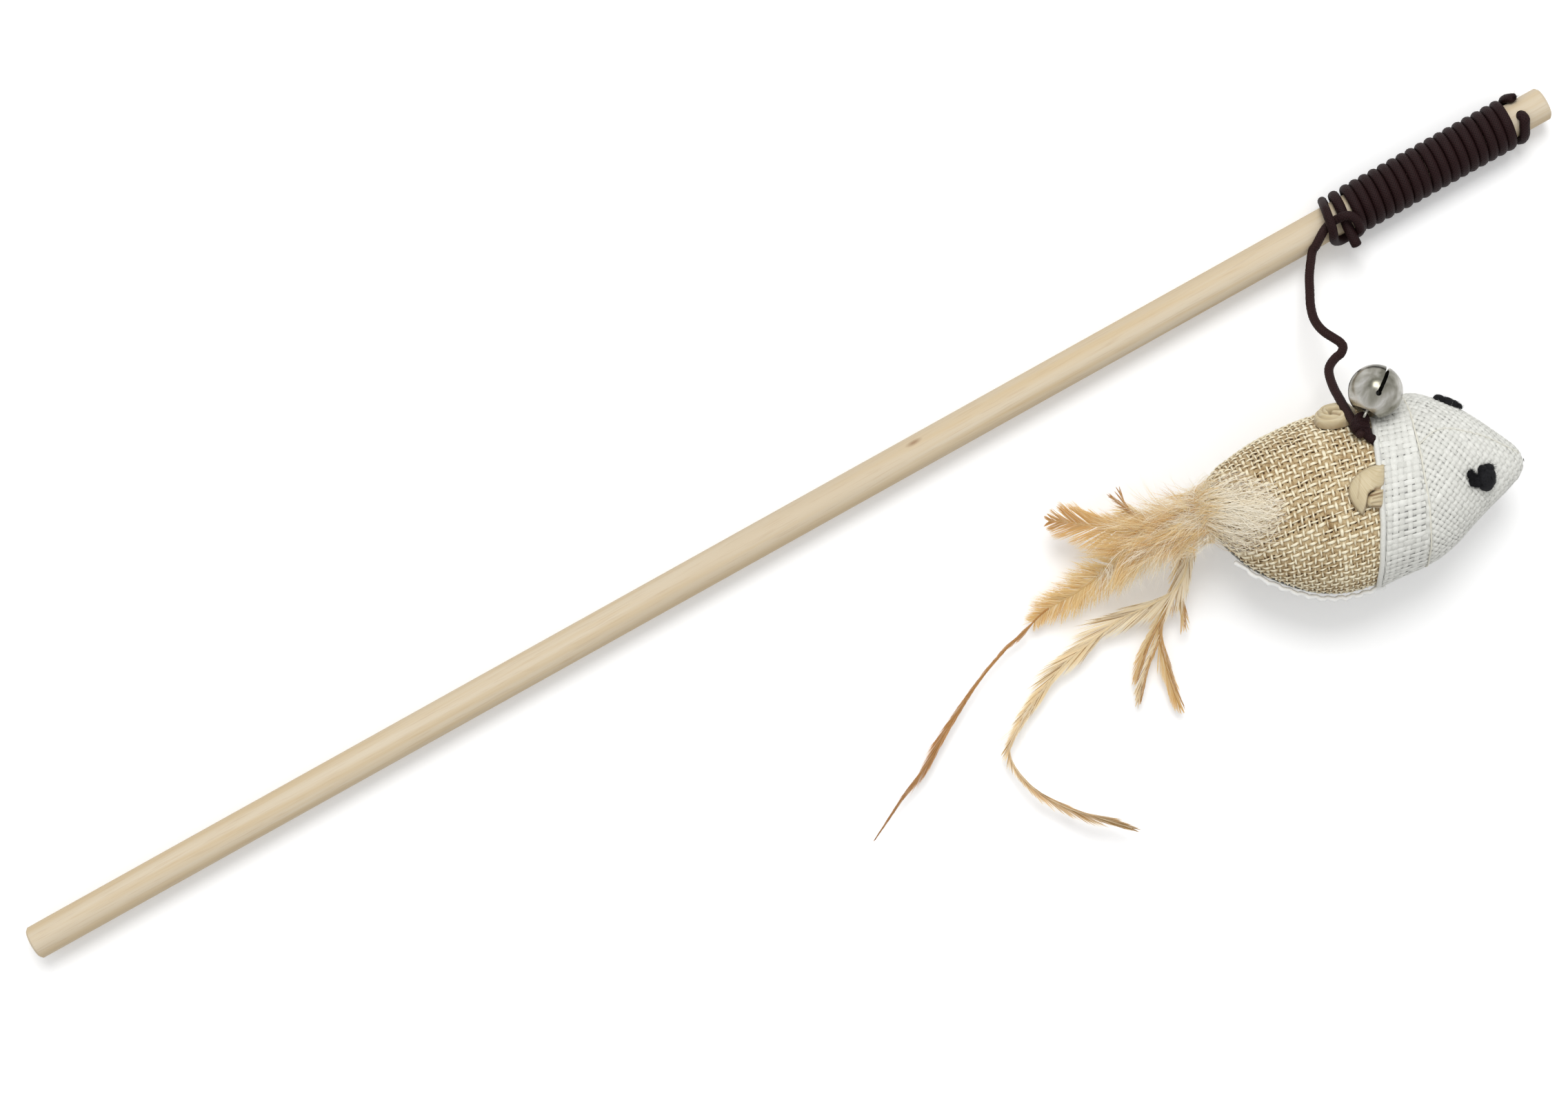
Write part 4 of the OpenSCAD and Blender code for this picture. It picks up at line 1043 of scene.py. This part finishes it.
# Feathers
def level_z(level):
    """Height of a feather's root: the six roots lie one above the other."""
    root_gap = 1.2
    return mid_z + (level + 0.5) * root_gap


def route(shares, reach, level):
    """Places behind the rump, as shares of the feather's reach along, aside and up."""
    return [on_mouse(along * reach, aside * reach, level_z(level) + up * reach)
            for along, aside, up in shares]


def feather_path(shares, reach, level, steps):
    root_share = 0.055
    root = on_mouse(mouse_l * root_share, 0, level_z(level))
    return curve([root] + route(shares, reach, level), steps)


def tail_way(along, aside, up):
    return on_mouse(along, aside, up) - on_mouse(0, 0, 0)


def feather(bag, path, widths, seed, per_mm, angles, barb_w, quill=0.5, clump=None, tilt=0.25, jitter=0.18,
            mat=0, quill_tone=0.5, tones=(0.0, 1.0)):
    """A tapering quill and rows of barbs whose reach follows the half widths. Clumped barbs, given
    as number and pull, draw together at their ends."""
    first_barb, last_barb = 0.06, 0.995
    r = np.random.default_rng(seed)
    path = np.asarray(path)
    run = run_along(path)
    share = run / run[-1]
    way_at = headings(path)
    bag.add(*tube(path, quill / 2 * (1 - 0.75 * share), 6), tone=(quill_tone, 0.0, 0.4), mat=mat)
    n = int(run[-1] * per_mm)
    for way in (-1, 1):
        t = np.sort(r.uniform(first_barb, last_barb, n))
        at, ahead = (np.stack([np.interp(t, share, line[:, k]) for k in range(3)], -1)
                     for line in (path, way_at))
        ahead = unit(ahead)
        side = unit(np.cross([0.0, 0.0, 1.0], ahead)) * way
        up = np.cross(ahead, side) * way
        half = np.interp(t, np.linspace(0, 1, len(widths)), widths)
        half = half * r.uniform(1 - jitter * 1.5, 1 + jitter, n)
        ang = np.radians(np.interp(t, [0, 1], angles) * r.normal(1, 0.12, n))
        end = (at + side * half[:, None] + ahead * (half / np.tan(np.maximum(ang, 0.05)))[:, None]
               + up * (half * r.normal(0, tilt, n))[:, None])
        if clump:
            size, pull = clump
            for k in range(0, n, size):
                end[k:k + size] = end[k:k + size] * (1 - pull) + end[k:k + size].mean(0) * pull
        barb = end - at
        shades = (tones[0] + t * (tones[1] - tones[0]), r.random(n))
        bag.add(*ribbons(at, unit(barb), up + r.normal(0, 0.22, (n, 3)), np.linalg.norm(barb, axis=1),
                         barb_w * r.uniform(0.6, 1.2, n),
                         way * r.normal(0.08, 0.06, n) * np.minimum(1, ang / 0.6) ** 1.5,
                         r.normal(-0.03, 0.05, n) * np.minimum(1, ang / 0.4), 6, shades), mat=mat)


def near(path, low, high, spread=None, shift=(0, 0, 0)):
    """Random places along part of a path, spread round it."""
    def places(r, n):
        points = path[(r.uniform(low, high, n) * (len(path) - 1)).astype(int)]
        return points if spread is None else points + r.normal(0, 1, (n, 3)) * spread + shift
    return places


def down(bag, places, count, seed, length, width, way, spread, shade, mat=0, lock=9, bend=0.35):
    """Loose fine barbs in locks of a number, which leave their places round one way."""
    r = np.random.default_rng(seed)
    locks = count // lock
    which = np.repeat(np.arange(locks), lock)
    n = len(which)
    start = places(r, locks)
    heading = unit(way + r.normal(0, spread, (locks, 3)))
    root = start[which] + r.normal(0, 0.35, (n, 3))
    dirs = unit(heading[which] + r.normal(0, spread * 0.35, (n, 3)))
    tones = (np.clip(shade + r.normal(0, 0.28, locks)[which] + r.normal(0, 0.06, n), 0, 1),
             np.clip(r.random(locks)[which] + r.normal(0, 0.12, n), 0, 1))
    bag.add(*ribbons(root, dirs, unit(r.normal(0, 0.4, (n, 3)) + [0, 0, 1.0]),
                     r.uniform(*length, locks)[which] * r.uniform(0.75, 1.05, n),
                     np.full(n, width) * r.uniform(0.5, 1.3, n),
                     r.normal(0, bend, locks)[which] + r.normal(0, 0.08, n),
                     r.normal(0, bend * 0.6, locks)[which] + r.normal(0, 0.06, n), 7, tones), mat=mat)


m_gold = feather_material("feather_gold", [(0.0, (0.95, 0.86, 0.66)), (0.35, (0.88, 0.73, 0.42)),
                                           (0.7, (0.83, 0.61, 0.28)), (1.0, (0.60, 0.34, 0.13))],
                          (0.84, 0.57, 0.25), 0.3, 0.45, (0.62, 0.33, 0.10), 0.7, 0.13)
m_tan = feather_material("feather_tan", [(0.0, (1.0, 0.95, 0.84)), (0.25, (1.0, 0.93, 0.76)),
                                         (0.55, (0.99, 0.88, 0.64)), (0.8, (0.82, 0.62, 0.36)),
                                         (1.0, (0.54, 0.35, 0.15))],
                         (0.90, 0.82, 0.64), 0.3, 0.55, (0.40, 0.23, 0.06), 0.85, 0.24)
m_rust = feather_material("feather_rust", [(0.0, (0.90, 0.78, 0.54)), (0.3, (0.83, 0.62, 0.34)),
                                           (0.42, (0.68, 0.45, 0.26)), (0.7, (0.64, 0.34, 0.11)),
                                           (1.0, (0.46, 0.25, 0.14))],
                          (0.66, 0.40, 0.18), 0.35, 0.4, (0.34, 0.15, 0.05), 0.6, 0.25)
m_pale = feather_material("feather_down", [(0.0, (1.0, 0.98, 0.90)), (0.5, (1.0, 0.94, 0.75)),
                                           (1.0, (0.95, 0.84, 0.56))],
                          (1.0, 0.98, 0.90), 0.5, 0.35, streak_mix=0.2)
m_fluff = feather_material("rump_fluff", [(0.0, (1.0, 0.95, 0.82)), (0.5, (1.0, 0.90, 0.70)),
                                          (1.0, (0.95, 0.80, 0.54))],
                           (1.0, 0.96, 0.86), 0.5, 0.12, streak_mix=0.12)
m_brown = feather_material("feather_brown", [(0.0, (0.92, 0.80, 0.56)), (0.4, (0.80, 0.55, 0.26)),
                                             (1.0, (0.54, 0.29, 0.10))], (0.42, 0.21, 0.07), 0.7, 0.35)

plume_l, tuft_l, hackle_l, foxtail_l, curled_l, split_l = 22, 17, 34, 104, 75, 45
foxtail_shares = [
    [0.01, 0, 0], [-0.06, -0.03, -0.02], [-0.12, -0.055, -0.05], [-0.22, -0.1, -0.09], [-0.29, -0.135, -0.11],
    [-0.355, -0.16, -0.125], [-0.41, -0.2, -0.13], [-0.455, -0.23, -0.13], [-0.52, -0.285, -0.13],
    [-0.6, -0.37, -0.13], [-0.665, -0.45, -0.13], [-0.73, -0.515, -0.13], [-0.81, -0.6, -0.13]]
foxtail_path = feather_path(foxtail_shares, foxtail_l, -1, 8)
brush_end = int(len(foxtail_path) * 0.51)


def plume():
    """The fluffy feather, in a mass of golden and pale down."""
    shares = [[0.1, 0, -0.01], [-0.1, -0.04, 0], [-0.34, -0.12, -0.05], [-0.6, -0.18, -0.14],
              [-0.85, -0.3, -0.22]]
    path = feather_path(shares, plume_l, 2, 6)
    backward = tail_way(-1, -0.25, 0)
    downward = tail_way(-0.2, -1.0, -0.15)
    mass = near(path, 0.05, 0.8, (2.2, 2.2, 1.2), (0, 0, -0.8))
    at_rump = near(path, 0, 0.4, (2.2, 2.2, 1.0))
    below = near(foxtail_path[:brush_end], 0.15, 0.62, (0.9, 0.9, 0.6))
    bag = Bag()
    feather(bag, path, plume_l * np.array([0.1, 0.2, 0.3, 0.36, 0.3, 0.2]), seed=51, per_mm=18,
            angles=(38, 30), barb_w=0.15, quill=0.9, tilt=0.35, jitter=0.35, clump=(5, 0.5),
            tones=(0.0, 0.5))
    for places, count, seed, length, width, way, spread, shade, mat, lock in (
            (mass, 3600, 52, (5, 12), 0.12, backward, 0.3, 0.36, 0, 9),
            (mass, 1500, 53, (4, 10), 0.09, backward, 0.5, 0.25, 1, 8),
            (at_rump, 1100, 58, (4, 9), 0.09, backward, 0.6, 0.05, 1, 7),
            (below, 1300, 57, (5, 10), 0.09, downward, 0.4, 0.05, 1, 8),
            (mass, 90, 87, (7, 13), 0.14, backward + [0, 0, 0.12], 0.2, 0.5, 2, 3),
            (mass, 330, 88, (7, 13), 0.14, backward + [0, 0, 0.15], 0.25, 0.0, 1, 3)):
        down(bag, places, count, seed, length, width, way, spread, shade, mat, lock)
    bag.make("plume_down", [m_gold, m_pale, m_brown], "tail", "plume")


def tufts():
    """Short brown tufts, whose barbs cling together."""
    upper = [[0.1, 0.02, 0], [-0.34, -0.04, -0.05], [-0.66, 0.0, -0.16], [-0.89, 0.2, -0.26],
             [-0.97, 0.47, -0.3]]
    lower = route([[-0.6, 0.04, -0.16], [-0.86, 0.17, -0.28], [-1.08, 0.4, -0.34]], tuft_l, 1)
    tip = on_mouse(-16.6, 3.2, level_z(1) - 5)
    bag = Bag()
    feather(bag, feather_path(upper, tuft_l, 1, 6),
            tuft_l * np.array([0.03, 0.04, 0.045, 0.05, 0.05, 0.012]), seed=54, per_mm=3.2, angles=(16, 9),
            barb_w=0.2, clump=(6, 0.88), tones=(0.2, 1.0))
    feather(bag, curve(lower, 6), tuft_l * np.array([0.04, 0.045, 0.012]), seed=55, per_mm=4,
            angles=(16, 8), barb_w=0.2, clump=(6, 0.88), tones=(0.3, 1.0))
    feather(bag, curve(lower[:2] + [tip], 6), tuft_l * np.array([0.05, 0.09, 0.04]), seed=95, per_mm=7,
            angles=(20, 14), barb_w=0.14, tones=(0.0, 0.4), mat=1)
    bag.make("tuft_barbs", [m_brown, m_gold], "tail", "tuft_feather")


def hackle():
    """Short feather that points back."""
    shares = [[0.03, 0.01, 0], [-0.16, 0.02, -0.06], [-0.33, 0, -0.13], [-0.53, -0.01, -0.18],
              [-0.73, 0.04, -0.21], [-0.87, 0.09, -0.23], [-0.98, 0.11, -0.25]]
    bag = Bag()
    feather(bag, feather_path(shares, hackle_l, 0, 6),
            hackle_l * np.array([0.03, 0.05, 0.07, 0.1, 0.13, 0.13, 0.08, 0.02]), seed=56, per_mm=8,
            angles=(32, 26), barb_w=0.28, clump=(13, 0.82), tones=(0.15, 1.0))
    bag.make("hackle_barbs", [m_gold], "tail", "hackle_feather")


def foxtail():
    """Long feather: a brush, then a thin quill with a narrow vane."""
    bag = Bag()
    feather(bag, foxtail_path[:brush_end], [1.2, 2.2, 3.4, 4.3, 4.7, 4.5, 3.9, 2.8, 1.2], seed=57,
            per_mm=18, angles=(52, 34), barb_w=0.19, quill=0.7, clump=(5, 0.4), jitter=0.4, tilt=0.35,
            tones=(0.0, 0.62), quill_tone=0.6)
    feather(bag, foxtail_path[brush_end - 6:], [0.4, 0.5, 0.35, 0.35, 0.6, 0.9, 0.75, 0.5, 0.3, 0.2, 0.08],
            seed=58, per_mm=9, angles=(8, 4), barb_w=0.2, quill=0.45, tilt=0.1, mat=1, tones=(0.35, 1.0),
            quill_tone=0.7)
    bag.make("foxtail_barbs", [m_gold, m_rust], "tail", "foxtail_feather")


def curled():
    """Long curled feather, with a wisp of down at its bend."""
    shares = [[0.01, -0.01, 0], [-0.03, -0.11, -0.05], [-0.08, -0.21, -0.09], [-0.17, -0.255, -0.12],
              [-0.27, -0.285, -0.14], [-0.36, -0.335, -0.15], [-0.455, -0.39, -0.155], [-0.535, -0.46, -0.16],
              [-0.6, -0.525, -0.16], [-0.645, -0.58, -0.16], [-0.67, -0.625, -0.16], [-0.665, -0.68, -0.16],
              [-0.625, -0.75, -0.15], [-0.565, -0.805, -0.145], [-0.505, -0.845, -0.135],
              [-0.43, -0.88, -0.125], [-0.34, -0.925, -0.11]]
    widths = [0.01, 0.016, 0.024, 0.03, 0.032, 0.03, 0.027, 0.024, 0.021, 0.016, 0.010, 0.008, 0.009, 0.013,
              0.013, 0.009, 0.003]
    path = feather_path(shares, curled_l, -2, 8)
    bag = Bag()
    feather(bag, path, curled_l * np.array(widths), seed=59, per_mm=8, angles=(15, 6), barb_w=0.24,
            quill=0.6, tilt=0.18, jitter=0.25, clump=(7, 0.5))
    down(bag, near(path, 0.42, 0.56), count=72, seed=61, length=(4, 10), width=0.1,
         way=tail_way(-0.76, -0.66, 0), spread=0.1, shade=0.3, bend=0.1)
    bag.make("curled_barbs", [m_tan], "tail", "curled_feather")


def split():
    """Feather that splits into blades, each with a dark line along it."""
    shares = [[0.02, -0.02, 0], [-0.07, -0.2, -0.1], [-0.125, -0.36, -0.165], [-0.19, -0.455, -0.2],
              [-0.24, -0.59, -0.235], [-0.23, -0.74, -0.25], [-0.215, -0.87, -0.255], [-0.19, -0.98, -0.255]]
    blades = [[[-0.19, -0.455, -0.2], [-0.3, -0.61, -0.24], [-0.395, -0.79, -0.25]],
              [[-0.24, -0.59, -0.235], [-0.33, -0.74, -0.25], [-0.395, -0.9, -0.255]],
              [[-0.125, -0.36, -0.165], [-0.11, -0.455, -0.19], [-0.115, -0.54, -0.2]]]
    shift = np.array([-0.9, 0.5, 0])
    bag = Bag()
    feather(bag, feather_path(shares, split_l, -3, 8) + shift,
            split_l * np.array([0.02, 0.028, 0.035, 0.035, 0.03, 0.03, 0.028, 0.02, 0.004]), seed=62,
            per_mm=8, angles=(16, 6), barb_w=0.2, quill=0.6, clump=(9, 0.8), tones=(0.05, 0.7),
            quill_tone=0.9)
    for i, blade in enumerate(blades):
        path = curve(route(blade, split_l, -3), 8) + shift
        feather(bag, path, split_l * np.array([0.012, 0.022, 0.004]), seed=63 + i, per_mm=9, angles=(12, 5),
                barb_w=0.2, quill=0.4, clump=(8, 0.8), mat=i % 2, tones=(0.0, 0.6))
        feather(bag, path + [0.55, -0.3, 0.25], [0.25, 0.35, 0.1], seed=96 + i, per_mm=4, angles=(8, 4),
                barb_w=0.16, quill=0.3, mat=2, tones=(0.3, 1.0))
    middle = curve(route(shares[2:], split_l, -3), 8) + [0.0, 0.8, 0.3]
    feather(bag, middle, [0.4, 0.5, 0.3, 0.1], seed=99, per_mm=4, angles=(8, 4), barb_w=0.16, quill=0.3,
            mat=2, tones=(0.3, 1.0))
    bag.make("split_barbs", [m_gold, m_tan, m_brown], "tail", "split_feather")


def skin_strands(bag, count, seed, s_range, reach, low, tall, width, shade, mat=0):
    """Fine strands that lie along the skin and end inside the fluff's outline."""
    r = np.random.default_rng(seed)
    k = np.linspace(0, 1, 8)[None]
    end_s = s_range[0] + (s_range[1] - s_range[0]) * r.random((count, 1)) ** 1.5
    fan = np.interp(end_s, [0, 0.035, 0.215], [75, 70, 22])
    end_a = back + 34 + fan * np.clip(r.normal(0, 0.5, (count, 1)), -1, 1)
    s = end_s - reach * r.uniform(0.5, 1.3, (count, 1)) * (1 - k)
    a = end_a + r.uniform(-9, 9, (count, 1)) * (1 - k)
    a = a + r.normal(0, 3, (count, 1)) * np.sin(k * 5 + r.uniform(0, 6, (count, 1)))
    high = r.uniform(low, tall, (count, 1)) * np.sin(np.pi * (0.15 + 0.75 * k)) + 0.25
    out = normal(np.maximum(s, 0.012), a)
    line = surf(np.maximum(s, 0.001), a) + out * high[..., None]
    lateral = unit(np.cross(out, np.gradient(line, axis=1)) + r.normal(0, 0.2, (count, 1, 3)))
    taper = ((1 - k) ** 0.6 * 0.9 + 0.1)[..., None]
    half = lateral * width / 2 * taper * r.uniform(0.5, 1.3, (count, 1, 1))
    shades = np.clip(shade + r.normal(0, 0.22, count), 0, 1)
    bag.add(*strips(line, half, shades, r.uniform(0.0, 1.0, count), floor_z), mat=mat)


def rump_down():
    """Loose pale down over the rump, golden at its rear."""
    bag = Bag()
    skin_strands(bag, count=1150, seed=71, s_range=(0.03, 0.25), reach=0.1, low=0.6, tall=2.0, width=0.12,
                 shade=0.18)
    skin_strands(bag, count=650, seed=72, s_range=(0.0, 0.1), reach=0.09, low=0.8, tall=2.5, width=0.13,
                 shade=0.3, mat=1)
    bag.make("rump_down", [m_fluff, m_gold], "mouse", "rump_fluff")


plume()
tufts()
hackle()
foxtail()
curled()
split()
rump_down()


# Floor, light and world
def stage_floor():
    """White where it is seen, a little darker in the light that it throws back on the object."""
    size, z = 4.0, floor_z * MM - 0.00002
    corners = [(-size, -size, z), (size, -size, z), (size, size, z), (-size, size, z)]
    mesh = bpy.data.meshes.new("floor")
    mesh.from_pydata(corners, [], [(0, 1, 2, 3)])
    material = bpy.data.materials.new("floor_white")
    material.use_nodes = True
    tree = Tree(material.node_tree)
    tree.tree.nodes.clear()
    white = tree.node("BsdfDiffuse", (1.0, 1.0, 1.0))
    glow = tree.node("Emission", (1.0, 1.0, 1.0), 0.1)
    seen = tree.node("AddShader", white.outputs[0], glow.outputs[0])
    thrown = tree.node("BsdfDiffuse", (0.75, 0.75, 0.75))
    mix = tree.node("MixShader", tree.seen_rays(), thrown.outputs[0], seen.outputs[0])
    tree.node("OutputMaterial", mix.outputs[0])
    mesh.materials.append(material)
    link_object("floor", mesh)


def key_light():
    place, target = Vector((0.62, 0.95, 1.9)), Vector((0.25, -0.02, 0))
    data = bpy.data.lights.new("key", "AREA")
    data.shape = "DISK"
    data.size = 1.1
    data.energy = 22
    lamp = link_object("key", data)
    lamp.location = place
    lamp.rotation_euler = (target - place).to_track_quat("-Z", "Y").to_euler()


def studio_world():
    """Pale overhead, darker towards the horizon, and plain white where it is seen past the floor."""
    world = bpy.data.worlds.new("studio")
    bpy.context.scene.world = world
    world.use_nodes = True
    tree = Tree(world.node_tree)
    height = tree.node("SeparateXYZ", tree.node("TexCoord").outputs["Generated"]).outputs[2]
    ambient = world.node_tree.nodes["Background"]
    tree.put(tree.ramp(height, [(0.0, 0.30), (0.75, 1.0)]), ambient.inputs[0])
    tree.put(0.79, ambient.inputs[1])
    plain = tree.node("Background", (1.0, 1.0, 1.0))
    swap = tree.node("MixShader", tree.seen_rays(), ambient.outputs[0], plain.outputs[0])
    tree.put(swap.outputs[0], world.node_tree.nodes["World Output"].inputs[0])


stage_floor()
key_light()
studio_world()
bpy.context.scene.view_settings.view_transform = "Standard"
